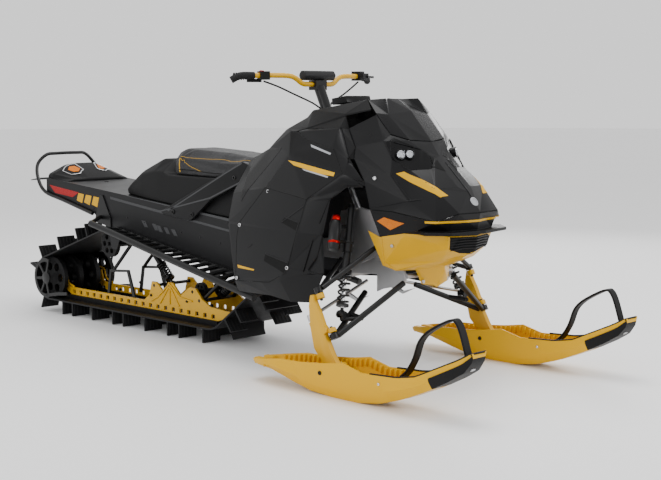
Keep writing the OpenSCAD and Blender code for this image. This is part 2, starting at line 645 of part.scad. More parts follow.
module ski_right() ski();
module ski_left() mirror([0, 1, 0]) ski();

loop_path = [[1310, 128], [1350, 214], [1404, 285], [1470, 335], [1535, 358], [1584, 339], [1608, 286], [1613, 240]];
module ski_loop() color(black)
  tube(smooth([for (p = loop_path) [p.x, -stance / 2, p.y]], 3), 11, 12, [0, 1, 0]);
module ski_loop_right() ski_loop();
module ski_loop_left() mirror([0, 1, 0]) ski_loop();

// ---- track and skid ------------------------------------------------------

module track() {
  outer = belt_line(0);
  inner = belt_line(belt_t);
  color(black) difference() {
    side_plate(outer, -half_track, half_track);
    side_plate(inner, -half_track - 1, half_track + 1);
  }
  color(black) for (i = [0:lug_rows - 1]) lug_row(i);
}

belt = belt_line(0);
function seg_len(i) = norm(belt[(i + 1) % len(belt)] - belt[i]);
function run(i) = i == 0 ? 0 : run(i - 1) + seg_len(i - 1);
runs = [for (i = [0:len(belt)]) run(i)];
belt_len = runs[len(belt)];
// The row that stands furthest forward on the snow, measured back from the rear axle
front_row_x = -216;
lug_t = 9;
// Paddles of five rows in turn: outer, outer, middle, outer, middle
outer_rows = [0, 1, 3];
module lug_row(i) {
  s = (belt_len + rear_axle.x - front_row_x + i * belt_len / lug_rows) % belt_len;
  k = [for (j = [0:len(belt) - 1]) if (runs[j] <= s && s < runs[j + 1]) j][0];
  a = belt[k];
  b = belt[(k + 1) % len(belt)];
  p = a + (b - a) * (s - runs[k]) / seg_len(k);
  kind = (3 - i + lug_rows) % 5;
  translate([p.x, 0, p.y]) rotate([0, -atan2(b.y - a.y, b.x - a.x), 0]) {
    if (kind == outer_rows[0] || kind == outer_rows[1] || kind == outer_rows[2])
      both() translate([-lug_t / 2, -half_track, -2]) cube([lug_t, track_w * 0.27, lug_h + 2]);
    else
      translate([-lug_t / 2, -track_w * 0.26, -2]) cube([lug_t, track_w * 0.52, lug_h + 2]);
  }
}

rail_y = 113;
module skid_rail() {
  outline = [[-1520, 178], [-1512, 204], [-1440, 204], [-1425, 150], [-1390, 138], [-760, 138], [-715, 170], [-695, 238], [-658, 238],
    [-600, 190], [-565, 246], [-530, 246], [-470, 190], [-405, 236], [-355, 236], [-310, 190], [-250, 160], [-95, 150], [-110, 128], [-190, 99], [-1390, 99], [-1440, 120]];
  difference() {
    side_plate(outline, -rail_y - 5, -rail_y + 5);
    for (a = [[rear_axle.x, rear_axle.y, 10], [-380, 218, 8], [-677, 219, 8], [-330, 180, 8]])
      translate([a[0], -rail_y, a[1]]) rotate([90, 0, 0]) cylinder(h = 20, r = a[2] + pin_gap, center = true);
    for (x = [-1380:60:-240]) side_plate([[x, 106], [x + 24, 106], [x + 24, 126], [x, 126]], -rail_y - 9, -rail_y + 9);
  }
}
module skid_rails() color(yellow) both() skid_rail();

module slider_shoes() {
  z = bottom_z + belt_t + seat_gap;
  outline = [[-1440, z], [-220, z], [-190, z + 4], [-190, 98.7], [-1390, 98.7], [-1440, 98.7]];
  color(black) both() side_plate(outline, -rail_y - 14, -rail_y + 14);
}

module wheel(x, z, y, r, w) {
  translate([x, y, z]) rotate([90, 0, 0]) difference() {
    cylinder(h = w, r = r, center = true);
    for (a = [0:60:300]) rotate(a) translate([r * 0.58, 0, 0]) cylinder(h = w + 2, r = r * 0.2, center = true);
  }
}
module track_wheels() {
  rear_r = rear_belt_r - belt_t - 2 * seat_gap;
  color(black) {
    both() wheel(rear_axle.x, rear_axle.y, -54, rear_r, 26);
    both() wheel(rear_axle.x, rear_axle.y, -150, rear_r, 22);
    both() wheel(upper_idler.x, upper_idler.y, -150, upper_r - 2 * seat_gap, 22);
    translate([rear_axle.x, 0, rear_axle.y]) rotate([90, 0, 0]) cylinder(h = 320, r = 10, center = true);
    translate([upper_idler.x, 0, upper_idler.y]) rotate([90, 0, 0])
      cylinder(h = track_w - 40, r = 9, center = true);
    both() wheel(-380, 218, -60, 40, 20);
    translate([-380, 0, 218]) rotate([90, 0, 0]) cylinder(h = 2 * rail_y + 10, r = 8, center = true);
    both() wheel(drive_axle.x, drive_axle.y, -90, drive_belt_r - belt_t - 8, 30);
    translate([drive_axle.x, 0, drive_axle.y]) rotate([90, 0, 0])
      cylinder(h = 2 * tunnel_in - 2 * seat_gap, r = 14, center = true);
  }
}

module skid_arms() {
  support = [[-1060, 262], [-900, 274], [-842, 120], [-862, 120], [-914, 262], [-1046, 250], [-1070, 120], [-1088, 120]];
  color(black) {
    both() side_plate(support, -rail_y + 5 + seat_gap, -rail_y + 15);
    both() rod([pivot_x[0], -97, pivot_z[0]], [-1040, -97, 258], 9);
    both() rod([pivot_x[1], -97, pivot_z[1]], [-330, -97, 180], 9);
    both() difference() {
      rod([pivot_x[0], -90, pivot_z[0]], [upper_idler.x - 16, -90, upper_idler.y - 1], 12);
      translate([upper_idler.x, -90, upper_idler.y]) rotate([90, 0, 0]) cylinder(h = 60, r = 9 + pin_gap, center = true);
    }
    for (i = [0, 1]) translate([pivot_x[i], 0, pivot_z[i]]) rotate([90, 0, 0])
      cylinder(h = 2 * tunnel_in - 2 * seat_gap, r = 10, center = true);
    translate([-330, 0, 180]) rotate([90, 0, 0]) cylinder(h = 2 * rail_y + 10, r = 8, center = true);
  }
}

module skid_shocks() {
  color(black) {
    coil_over([-677, 0, 219], [-863.4, 0, 394.4], 26, 120, [90, 0, 0]);
    coil_over([-313, 0, 191.8], [-128.9, 0, 327.6], 24, 110, [90, 0, 0]);
    translate([-677, 0, 219]) rotate([90, 0, 0]) cylinder(h = 2 * rail_y + 10, r = 8, center = true);
  }
}

tunnel();
tail_cover();
tail_lights();
rear_bumper();
snow_flap();
running_board_right();
running_board_left();
side_braces();
tank_cover();
seat();
console();
gauge();
cowl();
side_panel_right();
side_panel_left();
hood();
windshield();
headlights();
front_trim();
belly_pan();
front_frame();
engine();
steering_post();
handlebar();
hand_grips();
bar_pad();
throttle_control();
brake_control();
bar_cables();
suspension_arms();
front_shocks();
spindle_right();
spindle_left();
tie_rod_right();
tie_rod_left();
ski_right();
ski_left();
ski_loop_right();
ski_loop_left();
track();
skid_rails();
slider_shoes();
track_wheels();
skid_arms();
skid_shocks();
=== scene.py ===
import json
import math

import bmesh
import bpy
from mathutils import Matrix, Vector
from mathutils.bvhtree import BVHTree


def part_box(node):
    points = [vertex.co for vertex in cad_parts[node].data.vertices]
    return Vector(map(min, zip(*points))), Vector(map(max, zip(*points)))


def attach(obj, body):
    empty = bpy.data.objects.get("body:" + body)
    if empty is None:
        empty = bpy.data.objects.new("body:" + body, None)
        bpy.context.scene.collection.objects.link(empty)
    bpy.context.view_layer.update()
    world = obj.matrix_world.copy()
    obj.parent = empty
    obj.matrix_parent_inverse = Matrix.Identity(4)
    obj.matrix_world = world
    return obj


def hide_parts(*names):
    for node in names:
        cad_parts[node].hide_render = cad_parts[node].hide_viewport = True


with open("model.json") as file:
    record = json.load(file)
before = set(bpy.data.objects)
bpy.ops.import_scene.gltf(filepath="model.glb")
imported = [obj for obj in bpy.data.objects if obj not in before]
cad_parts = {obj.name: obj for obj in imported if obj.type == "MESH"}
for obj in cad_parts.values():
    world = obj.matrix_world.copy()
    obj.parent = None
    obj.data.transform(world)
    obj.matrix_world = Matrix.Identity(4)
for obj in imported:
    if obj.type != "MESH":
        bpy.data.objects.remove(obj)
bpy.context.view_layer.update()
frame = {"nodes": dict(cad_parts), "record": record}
cadNodes = frame["nodes"]
bodyOf = {node: body for body, members in frame["record"]["behaviour"]["bodies"].items()
          for node in members}
slotOf = {part["node"]: part["material_slot"] for part in frame["record"]["subparts"]}
mm = 0.001


# shader writing

class Field:
    # a shader value that can be used in arithmetic
    def __init__(self, tree, socket):
        self.tree, self.socket = tree, socket

    def math(self, operation, first, second=None, clamp=False):
        node = self.tree.nodes.new("ShaderNodeMath")
        node.operation = operation
        node.use_clamp = clamp
        for slot, value in zip(node.inputs, (first, second)):
            if isinstance(value, Field):
                self.tree.links.new(value.socket, slot)
            elif value is not None:
                slot.default_value = value
        return Field(self.tree, node.outputs[0])

    def __add__(self, other):
        return self.math("ADD", self, other)

    def __radd__(self, other):
        return self.math("ADD", other, self)

    def __sub__(self, other):
        return self.math("SUBTRACT", self, other)

    def __rsub__(self, other):
        return self.math("SUBTRACT", other, self)

    def __mul__(self, other):
        return self.math("MULTIPLY", self, other)

    def __truediv__(self, other):
        return self.math("DIVIDE", self, other)

    def above(self, level, soft):
        return self.math("ADD", (self - level) / soft, 0.5, clamp=True)


class Finish:
    # one material: a principled shader and short ways to feed it
    def __init__(self, name, **sockets):
        self.material = bpy.data.materials.new(name)
        self.material.use_nodes = True
        self.tree = self.material.node_tree
        self.shader = self.tree.nodes["Principled BSDF"]
        self.place = self.node("ShaderNodeTexCoord").outputs["Object"]
        for socket, value in sockets.items():
            self.shader.inputs[socket.replace("_", " ")].default_value = value

    def node(self, kind, settings=None, values=None):
        node = self.tree.nodes.new(kind)
        for key, value in (settings or {}).items():
            setattr(node, key, value)
        for key, value in (values or {}).items():
            self.feed(node.inputs[key], value)
        return node

    def feed(self, socket, value):
        if isinstance(value, Field):
            value = value.socket
        if isinstance(value, bpy.types.NodeSocket):
            self.tree.links.new(value, socket)
        else:
            socket.default_value = value

    def set(self, **values):
        for key, value in values.items():
            self.feed(self.shader.inputs[key.replace("_", " ")], value)
        return self

    def field(self, node, output=0):
        return Field(self.tree, node.outputs[output])

    def stretched(self, scale):
        return self.node("ShaderNodeMapping", None, {"Vector": self.place, "Scale": scale}).outputs[0]

    def noise(self, scale, detail=2.0, rough=0.5, vector=None):
        node = self.node("ShaderNodeTexNoise", None, {"Vector": vector or self.place, "Scale": scale,
                                                      "Detail": detail, "Roughness": rough})
        return self.field(node)

    def cells(self, scale, feature="F1"):
        node = self.node("ShaderNodeTexVoronoi", {"feature": feature}, {"Vector": self.place, "Scale": scale})
        return self.field(node)

    def mix(self, factor, first, second):
        node = self.node("ShaderNodeMix", {"data_type": "RGBA"})
        for index, value in ((0, factor), (6, first), (7, second)):
            plain = isinstance(value, (tuple, list))
            self.feed(node.inputs[index], (*value, 1.0) if plain else value)
        return node.outputs[2]

    def edges(self, radius):
        # 1 where the surface turns sharply, 0 where it is flat
        rounded = self.node("ShaderNodeBevel", {"samples": 4}, {"Radius": radius})
        flat = self.node("ShaderNodeNewGeometry")
        turn = self.node("ShaderNodeVectorMath", {"operation": "DOT_PRODUCT"},
                         {0: rounded.outputs[0], 1: flat.outputs["Normal"]})
        return self.field(turn, "Value").math("MULTIPLY", 1 - self.field(turn, "Value"), 6.0, clamp=True)

    def relief(self, height, depth, rounding=None):
        values = {"Height": height, "Distance": depth, "Strength": 1.0}
        if rounding:
            values["Normal"] = self.node("ShaderNodeBevel", {"samples": 4}, {"Radius": rounding}).outputs[0]
        return self.set(Normal=self.node("ShaderNodeBump", None, values).outputs[0])


def moulded(name, colour, rough, grain=0.00012, sheen=1.4, rounding=0.0015, scale=900.0):
    # moulded plastic: fine leather-like grain, faint mottling, and paler, rougher edges in patches: partly
    # scuffing, partly a painted highlight along the edges
    skin = Finish(name, Specular_IOR_Level=0.16)
    mottle = skin.noise(6.0, 4.0)
    # edge mask broken up by noise: it lightens the colour towards the sheen-brightened tone as a painted edge
    # highlight, and raises roughness as scuffing
    scuffAndHighlight = skin.edges(0.003) * skin.noise(60.0, 3.0).above(0.5, 0.3)
    pale = [min(1.0, c * sheen + 0.006) for c in colour]
    skin.set(Base_Color=skin.mix(scuffAndHighlight * 0.6 + mottle * 0.25, colour, pale),
             Roughness=rough + (mottle - 0.5) * 0.12 + scuffAndHighlight * 0.1)
    return skin.relief(skin.cells(scale) + skin.noise(scale * 0.4) * 0.6, grain, rounding).material


def coated(name, colour, rough, wearAndHighlight=(0.2, 0.2, 0.2), rounding=0.0015, coat=0.0, shine=0.35):
    # powder coat or paint: orange peel, and paler edges in sparse patches, partly bare metal where chipped and
    # partly a painted highlight along the edges
    skin = Finish(name, Coat_Weight=coat, Coat_Roughness=0.12, Specular_IOR_Level=shine)
    drift = skin.noise(9.0, 3.0)
    # edge patches mixed towards the edge colour: chipped paint, and a painted highlight along the edges
    chipsAndHighlight = skin.edges(0.0015) * skin.noise(140.0, 3.0).above(0.62, 0.06)
    deep = [c * 0.82 for c in colour]
    skin.set(Base_Color=skin.mix(chipsAndHighlight * 0.5, skin.mix(drift, deep, colour), wearAndHighlight),
             Roughness=rough + (drift - 0.5) * 0.1)
    return skin.relief(skin.noise(520.0, 2.0), 0.00006, rounding).material


def alloy(name, colour, rough, brushed=True):
    skin = Finish(name, Metallic=1.0)
    if brushed:
        streaks = skin.noise(40.0, 4.0, 0.6, skin.stretched((1.0, 14.0, 14.0)))
    else:
        streaks = skin.noise(180.0, 4.0)
    stain = skin.noise(11.0, 3.0)
    skin.set(Base_Color=skin.mix(stain, [c * 0.7 for c in colour], colour),
             Roughness=rough + (streaks - 0.5) * 0.25)
    return skin.relief(streaks, 0.00008, 0.001).material


def rubbery(name, colour, rough, ribs=0.0):
    skin = Finish(name, Specular_IOR_Level=0.2)
    bloom = skin.noise(16.0, 4.0)
    pits = skin.noise(700.0, 2.0)
    # whitish bloom in patches is the rubber's own; the paler edges from the edge mask are a painted highlight
    wearAndHighlight = bloom * 0.7 + skin.edges(0.004) * 0.25
    skin.set(Base_Color=skin.mix(wearAndHighlight, colour, [c * 1.7 + 0.006 for c in colour]),
             Roughness=rough + (bloom - 0.5) * 0.2)
    height = pits
    if ribs:
        wave = skin.node("ShaderNodeTexWave", {"bands_direction": "Y"}, {"Vector": skin.place, "Scale": ribs})
        height = skin.field(wave) * 4 + pits
    return skin.relief(height, 0.00025, 0.0015).material


def vinyl(name, colour):
    # seat cover: cell grain with creases between the cells, worn smoother in patches
    skin = Finish(name, Sheen_Weight=0.06, Sheen_Roughness=0.5, Specular_IOR_Level=0.25)
    grain = skin.cells(420.0, "DISTANCE_TO_EDGE")
    rub = skin.noise(7.0, 3.0)
    skin.set(Base_Color=skin.mix(rub, colour, [c * 1.6 for c in colour]), Roughness=0.62 - rub * 0.18)
    return skin.relief(grain.above(0.08, 0.12) + skin.noise(1300.0) * 0.2, 0.0002).material


def clearLens(name, tint, rough=0.03):
    skin = Finish(name, Transmission_Weight=0.92, IOR=1.49)
    haze = skin.noise(90.0, 3.0)
    skin.set(Base_Color=skin.mix(haze, tint, [c * 0.92 for c in tint]), Roughness=rough + haze * 0.04)
    return skin.material


def reflector(name, colour):
    # prismatic plastic reflector
    skin = Finish(name, Coat_Weight=0.15, Coat_Roughness=0.05, Specular_IOR_Level=0.15)
    prism = skin.cells(330.0)
    skin.set(Base_Color=skin.mix(prism, colour, [c * 0.55 for c in colour]), Roughness=0.22 + prism * 0.2)
    return skin.relief(prism, 0.0005).material


paints = {
    "black": (0.004, 0.004, 0.0043),
    "satin": (0.005, 0.005, 0.0055),
    "gloss": (0.0025, 0.0025, 0.0028),
    "slate": (0.042, 0.043, 0.046),
    "yellow": (0.66, 0.36, 0.0),
    "amber": (0.75, 0.19, 0.0),
    "red": (0.42, 0.003, 0.004),
}
finishes = {
    "blackPlastic": moulded("blackPlastic", paints["black"], 0.52),
    "satinPanel": moulded("satinPanel", paints["satin"], 0.4, 0.00003, 1.5, 0.003),
    "glossPanel": moulded("glossPanel", paints["gloss"], 0.22, 0.00001, 1.5, 0.003),
    "smokedScreen": moulded("smokedScreen", paints["satin"], 0.24, 0.00001, 1.3, 0.003),
    "yellowPanel": coated("yellowPanel", paints["yellow"], 0.34, (0.6, 0.36, 0.05), 0.003, 0.25, 0.25),
    "yellowCoat": coated("yellowCoat", paints["yellow"], 0.4),
    "skiPlastic": moulded("skiPlastic", paints["yellow"], 0.4, 0.00005, 1.05, 0.003, 500.0),
    "blackCoat": coated("blackCoat", paints["black"], 0.36, shine=0.3),
    "slateCoat": coated("slateCoat", paints["slate"], 0.45, shine=0.3),
    "tunnelCoat": coated("tunnelCoat", (0.007, 0.007, 0.0078), 0.4, shine=0.2),
    "frameAlloy": alloy("frameAlloy", (0.5, 0.5, 0.51), 0.42, False),
    "polished": alloy("polished", (0.78, 0.78, 0.79), 0.16),
    "steel": alloy("steel", (0.55, 0.55, 0.56), 0.3),
    "rubber": rubbery("rubber", (0.006, 0.006, 0.0065), 0.7),
    "trackRubber": rubbery("trackRubber", (0.005, 0.005, 0.0055), 0.5),
    "gripRubber": rubbery("gripRubber", (0.006, 0.006, 0.0065), 0.66, 60.0),
    "padFoam": rubbery("padFoam", (0.008, 0.008, 0.0085), 0.5),
    "castBlock": alloy("castBlock", (0.05, 0.05, 0.055), 0.6, False),
    "seatVinyl": vinyl("seatVinyl", (0.008, 0.008, 0.009)),
    "amberPrism": reflector("amberPrism", paints["amber"]),
    "redPrism": reflector("redPrism", paints["red"]),
    "redAnodised": alloy("redAnodised", (0.5, 0.004, 0.004), 0.3),
    "lampGlass": clearLens("lampGlass", (0.95, 0.97, 1.0)),
    "lineYellow": coated("lineYellow", (0.68, 0.37, 0.0), 0.35, shine=0.2),
    "linePale": coated("linePale", (0.36, 0.37, 0.39), 0.35),
    "seamBlack": moulded("seamBlack", (0.004, 0.004, 0.004), 0.8),
}
print("finishes ready:", len(finishes))

# finish of each record slot, for the nodes that stay as they are
slotFinish = {
    "coated_sheet": "tunnelCoat", "black_plastic": "blackPlastic", "gloss_black": "satinPanel",
    "yellow_panel": "yellowPanel", "yellow_plastic": "skiPlastic", "yellow_metal": "yellowCoat",
    "black_metal": "blackCoat", "frame_alloy": "frameAlloy", "engine_cast": "castBlock",
    "seat_cover": "seatVinyl", "smoked_screen": "smokedScreen", "lamp": "glossPanel", "red_lens": "redPrism",
    "flap_rubber": "rubber", "grip_rubber": "gripRubber", "pad_foam": "padFoam", "cable_sheath": "rubber",
    "track_rubber": "trackRubber", "wheel_plastic": "blackPlastic", "rod_steel": "steel",
    "spring_steel": "blackCoat",
}
for name, node in cadNodes.items():
    node.data.materials.clear()
    node.data.materials.append(finishes[slotFinish[slotOf[name]]])


# making pieces

def show(name, mesh, finish, body, sharp=30.0):
    mesh.materials.clear()
    mesh.materials.append(finishes[finish])
    for face in mesh.polygons:
        face.use_smooth = True
    mesh.set_sharp_from_angle(angle=math.radians(sharp))
    piece = bpy.data.objects.new(name, mesh)
    bpy.context.scene.collection.objects.link(piece)
    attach(piece, body)
    return piece


def build(name, work, finish, body, slot=None, sharp=30.0):
    bmesh.ops.recalc_face_normals(work, faces=work.faces)
    mesh = bpy.data.meshes.new(name)
    work.to_mesh(mesh)
    work.free()
    return show(name, mesh, finish, body, sharp)


# millimetres and degrees
softening = {"weld": 0.02, "flat": 0.6, "least": 6.0, "sharp": 24.0, "segments": 3, "thinness": 0.55}


def welded(node):
    # a CAD node with its doubled corners joined and its flat triangles merged
    work = bmesh.new()
    work.from_mesh(cadNodes[node].data)
    bmesh.ops.remove_doubles(work, verts=work.verts, dist=softening["weld"] * mm)
    flat = math.radians(softening["flat"])
    bmesh.ops.dissolve_limit(work, angle_limit=flat, verts=work.verts, edges=work.edges)
    return work


def thin(face, wall):
    return face.calc_area() / face.calc_perimeter() < wall * softening["thinness"]


def softened(node, name, finish, crease, wall):
    # a CAD panel standing for the plain one, its creases rounded except on faces thinner than the wall
    work = welded(node)
    folds = [e for e in work.edges if len(e.link_faces) == 2
             and e.calc_face_angle(0.0) > math.radians(softening["least"])
             and not any(thin(f, wall * mm) for f in e.link_faces)]
    bmesh.ops.bevel(work, geom=folds, offset=crease * mm, segments=softening["segments"], profile=0.5,
                    affect="EDGES", clamp_overlap=True)
    piece = build(name, work, finish, bodyOf[node], slotOf[node], softening["sharp"])
    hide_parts(node)
    return piece


# panel: its piece, finish, crease width and wall in millimetres
panels = {
    "hood": ("hoodShell", "satinPanel", 6.0, 3.5),
    "windshield": ("screen", "smokedScreen", 5.0, 3.5),
    "front_trim": ("noseTrim", "satinPanel", 3.0, 5.0),
    "belly_pan": ("pan", "yellowPanel", 6.0, 5.0),
    "side_panel_right": ("sidePanelRight", "satinPanel", 7.0, 5.5),
    "side_panel_left": ("sidePanelLeft", "satinPanel", 7.0, 5.5),
    "console": ("consoleShell", "blackPlastic", 5.0, 5.5),
    "cowl": ("cowlShell", "blackPlastic", 2.0, 3.5),
    "tank_cover": ("tankShell", "blackPlastic", 9.0, 0.1),
    "tail_cover": ("tailShell", "blackPlastic", 6.0, 0.1),
    "gauge": ("gaugeCase", "glossPanel", 3.0, 0.1),
    "bar_pad": ("padCover", "padFoam", 7.0, 0.1),
    "side_braces": ("braces", "satinPanel", 2.0, 0.1),
}
for node, (name, finish, crease, wall) in panels.items():
    softened(node, name, finish, crease, wall)
print("panels softened:", len(panels))


# shapes

def point(place):
    return Vector(place) * mm


def flipped(points):
    return [(x, -y, z) for x, y, z in points]


def atSide(line, y):
    # the same line, moved sideways to y
    return [Vector((p.x, y * mm, p.z)) for p in line]


def stretch(places, step):
    # the same line with a point every step or so
    line = [point(p) for p in places]
    dense = [line[0]]
    for first, last in zip(line, line[1:]):
        count = max(1, round((last - first).length / (step * mm)))
        dense += [first.lerp(last, (i + 1) / count) for i in range(count)]
    return dense


def curve(places, steps):
    # a smooth line through given points
    line = [point(p) for p in places]
    padded = [line[0] * 2 - line[1], *line, line[-1] * 2 - line[-2]]
    smooth = []
    for a, b, c, d in zip(padded, padded[1:], padded[2:], padded[3:]):
        for i in range(steps):
            t = i / steps
            smooth.append(0.5 * (2 * b + (c - a) * t + (2 * a - 5 * b + 4 * c - d) * t * t
                                 + (3 * b - a - 3 * c + d) * t ** 3))
    return [*smooth, line[-1]]


def boxSection(wide, high, cut):
    a, b, c = wide / 2, high / 2, min(wide, high) * cut
    return [(a, -b + c), (a, b - c), (a - c, b), (-a + c, b),
            (-a, b - c), (-a, -b + c), (-a + c, -b), (a - c, -b)]


def closeRings(work, rings):
    # faces between rings of equal length, and a cap at each end
    count = len(rings[0])
    for low, high in zip(rings, rings[1:]):
        for i in range(count):
            work.faces.new((low[i], low[(i + 1) % count], high[(i + 1) % count], high[i]))
    work.faces.new(rings[0])
    work.faces.new(rings[-1])


def sweep(work, line, section, side, scale=None):
    # section corners are (along side, across it) in millimetres
    rings = []
    for i, place in enumerate(line):
        along = (line[min(i + 1, len(line) - 1)] - line[max(i - 1, 0)]).normalized()
        lean = side[i] if isinstance(side, list) else Vector(side)
        lean = (lean - along * lean.dot(along)).normalized()
        across = along.cross(lean)
        size = (scale[i] if scale else 1.0) * mm
        rings.append([work.verts.new(place + (lean * u + across * v) * size) for u, v in section])
    closeRings(work, rings)


def bar(work, line, wide, high, side=(0, 1, 0), scale=None):
    sweep(work, line, boxSection(wide, high, 0.3), side, scale)


def spun(work, place, axis, profile, sides):
    # profile: (radius, height along the axis)
    axis = Vector(axis).normalized()
    first = axis.orthogonal().normalized()
    second = axis.cross(first)
    turns = [math.tau * i / sides for i in range(sides)]
    rings = []
    for radius, height in profile:
        middle = point(place) + axis * height * mm
        if radius < 0.001:
            rings.append([work.verts.new(middle)])
        else:
            spokes = [first * math.cos(t) + second * math.sin(t) for t in turns]
            rings.append([work.verts.new(middle + spoke * radius * mm) for spoke in spokes])
    for low, high in zip(rings, rings[1:]):
        for i in range(sides):
            corners = [low[i % len(low)], low[(i + 1) % len(low)],
                       high[(i + 1) % len(high)], high[i % len(high)]]
            work.faces.new(list(dict.fromkeys(corners)))
    for ring in (rings[0], rings[-1]):
        if len(ring) > 1:
            work.faces.new(ring)


def block(work, low, high, cut):
    made = bmesh.ops.create_cube(work, size=1.0)["verts"]
    for v in made:
        v.co = Vector(((low[i] + (high[i] - low[i]) * (v.co[i] + 0.5)) * mm for i in range(3)))
    edges = list({e for v in made for e in v.link_edges})
    bmesh.ops.bevel(work, geom=edges, offset=cut * mm, segments=2, profile=0.5, affect="EDGES")


def buttonHead(radius):
    # rounded head with a socket; a head's profile is in parts of its radius
    shape = ((1, -1), (1, 0.3), (0.85, 0.62), (0.5, 0.75), (0.45, 0.3), (0, 0.3))
    return [(radius * out, radius * up) for out, up in shape]


def domeHead(radius):
    shape = ((1, -1), (1, 0.1), (0.8, 0.4), (0.4, 0.55), (0, 0.6))
    return [(radius * out, radius * up) for out, up in shape]


def heads(name, finish, body, spots, shape=buttonHead, sides=12):
    # spots: (place, axis, radius), all one piece
    work = bmesh.new()
    for place, axis, radius in spots:
        spun(work, place, axis, shape(radius), sides)
    return build(name, work, finish, body, sharp=35.0)


skins = {}
rayReach = 0.3  # metres


def skinOf(node):
    if node not in skins:
        mesh = node.data if isinstance(node, bpy.types.Object) else cadNodes[node].data
        corners, faces = [v.co for v in mesh.vertices], [f.vertices for f in mesh.polygons]
        skins[node] = BVHTree.FromPolygons(corners, faces)
    return skins[node]


def coreBy(place):
    # a point inside the machine, a little behind the place
    return Vector((place.x - 0.25, 0.0, 0.5))


def outward(corners):
    # the outline's normal, away from the middle of the machine, and its centre
    normal = Vector()
    for a, b in zip(corners, corners[1:] + corners[:1]):
        normal += a.cross(b)
    normal.normalize()
    centre = sum(corners, Vector()) / len(corners)
    return (normal if normal.dot(centre - coreBy(centre)) > 0 else -normal), centre


def patch(name, node, outline, finish, lift, thick, cell=9.0):
    # a thin raised piece that follows a node's surface, cut into cells so that it can bend
    corners = [point(p) for p in outline]
    normal, centre = outward(corners)
    work = bmesh.new()
    work.faces.new([work.verts.new(p - normal * (p - centre).dot(normal)) for p in corners])
    bmesh.ops.triangulate(work, faces=work.faces)
    first = (corners[1] - corners[0]).normalized()
    for along in (first, normal.cross(first)):
        reach = [(v.co - centre).dot(along) / (cell * mm) for v in work.verts]
        for step in range(math.ceil(min(reach)), math.floor(max(reach)) + 1):
            bmesh.ops.bisect_plane(work, geom=[*work.verts, *work.edges, *work.faces],
                                   plane_co=centre + along * step * cell * mm, plane_no=along)
    skin = skinOf(node)
    for v in work.verts:
        hit = skin.ray_cast(v.co + normal * 0.12, -normal, rayReach)[0] or skin.find_nearest(v.co)[0]
        v.co = hit + normal * lift * mm
    made = bmesh.ops.extrude_face_region(work, geom=list(work.faces), use_keep_orig=True)["geom"]
    for v in made:
        if isinstance(v, bmesh.types.BMVert):
            v.co -= normal * thick * mm
    return build(name, work, finish, bodyOf[node])


def joinedSkin(*nodes):
    # several nodes' surfaces as one
    corners, faces = [], []
    for node in nodes:
        mesh = cadNodes[node].data
        faces += [[len(corners) + i for i in f.vertices] for f in mesh.polygons]
        corners += [v.co for v in mesh.vertices]
    return BVHTree.FromPolygons(corners, faces)


def seam(name, node, lines, wide, finish, lift, deep, core=None, cast=False):
    # narrow strips laid along a node's surface; cast finds it by rays towards the core
    skin = skinOf(node)
    work = bmesh.new()
    for places in lines:
        line, side = [], []
        for spot in stretch(places, 7.0):
            if cast:
                out = (spot - Vector(core)).normalized()
                hit, normal = skin.ray_cast(spot + out * 0.1, -out, rayReach)[:2]
            else:
                hit, normal = skin.find_nearest(spot)[:2]
            away = hit - (Vector(core) if core else coreBy(hit))
            normal = normal if normal.dot(away) > 0 else -normal
            line.append(hit + normal * (lift - deep / 2) * mm)
            side.append(normal)
        sweep(work, line, boxSection(deep, wide, 0.15), side)
    return build(name, work, finish, "chassis", sharp=40.0)


def bothSides(maker, name, node, outline, *rest):
    # the outline is the right side's; a pair of nodes is (right, left)
    right, left = node if isinstance(node, tuple) else (node, node)
    maker(name + "Right", right, outline, *rest)
    far = [flipped(line) for line in outline] if maker is seam else flipped(outline)
    maker(name + "Left", left, far, *rest)


def mirrored(spots):
    # bolt heads given for the left side, on both sides
    return [((x, s * y, z), (a, s * b, c), radius) for s in (-1, 1) for (x, y, z), (a, b, c), radius in spots]


sides = ("side_panel_right", "side_panel_left")

# side panels: each patch's outline, finish, lift and thickness
sideArt = {
    "sideInsert": ([(431, -233, 1000), (480, -236, 1000), (544, -248, 969), (721, -272, 938), (800, -301, 842),
                    (672, -378, 736), (375, -330, 767), (456, -266, 906)], "glossPanel", 0.9, 2.2),
    "sideStripe": ([(461, -279, 882), (548, -286, 873), (759, -301, 843), (760, -311, 829), (674, -309, 836),
                    (513, -294, 863)], "lineYellow", 1.5, 0.8),
    "sideUnderline": ([(566, -300, 853), (733, -313, 828), (732, -317, 822), (585, -305, 845)],
                      "linePale", 1.5, 0.8),
    "sideBar": ([(574, -256, 952), (713, -276, 920), (708, -277, 913), (583, -261, 941)],
                "linePale", 1.5, 0.8),
    "sideMark": ([(231, -365, 429), (359, -382, 422), (354, -382, 416), (237, -366, 416)],
                 "lineYellow", 0.6, 1.5),
    "kneePatch": ([(182, -218, 877), (266, -216, 918), (378, -238, 931), (214, -325, 698)],
                  "glossPanel", 0.6, 2.2),
    "ventHigh": ([(545, -377, 656), (645, -394, 640), (636, -400, 606), (522, -380, 634)],
                 "seamBlack", 0.5, 2.0),
    "ventLow": ([(437, -389, 496), (598, -410, 473), (577, -410, 428), (427, -390, 465)],
                "seamBlack", 0.5, 2.0),
}
for name, (outline, *look) in sideArt.items():
    bothSides(patch, name, sides, outline, *look)

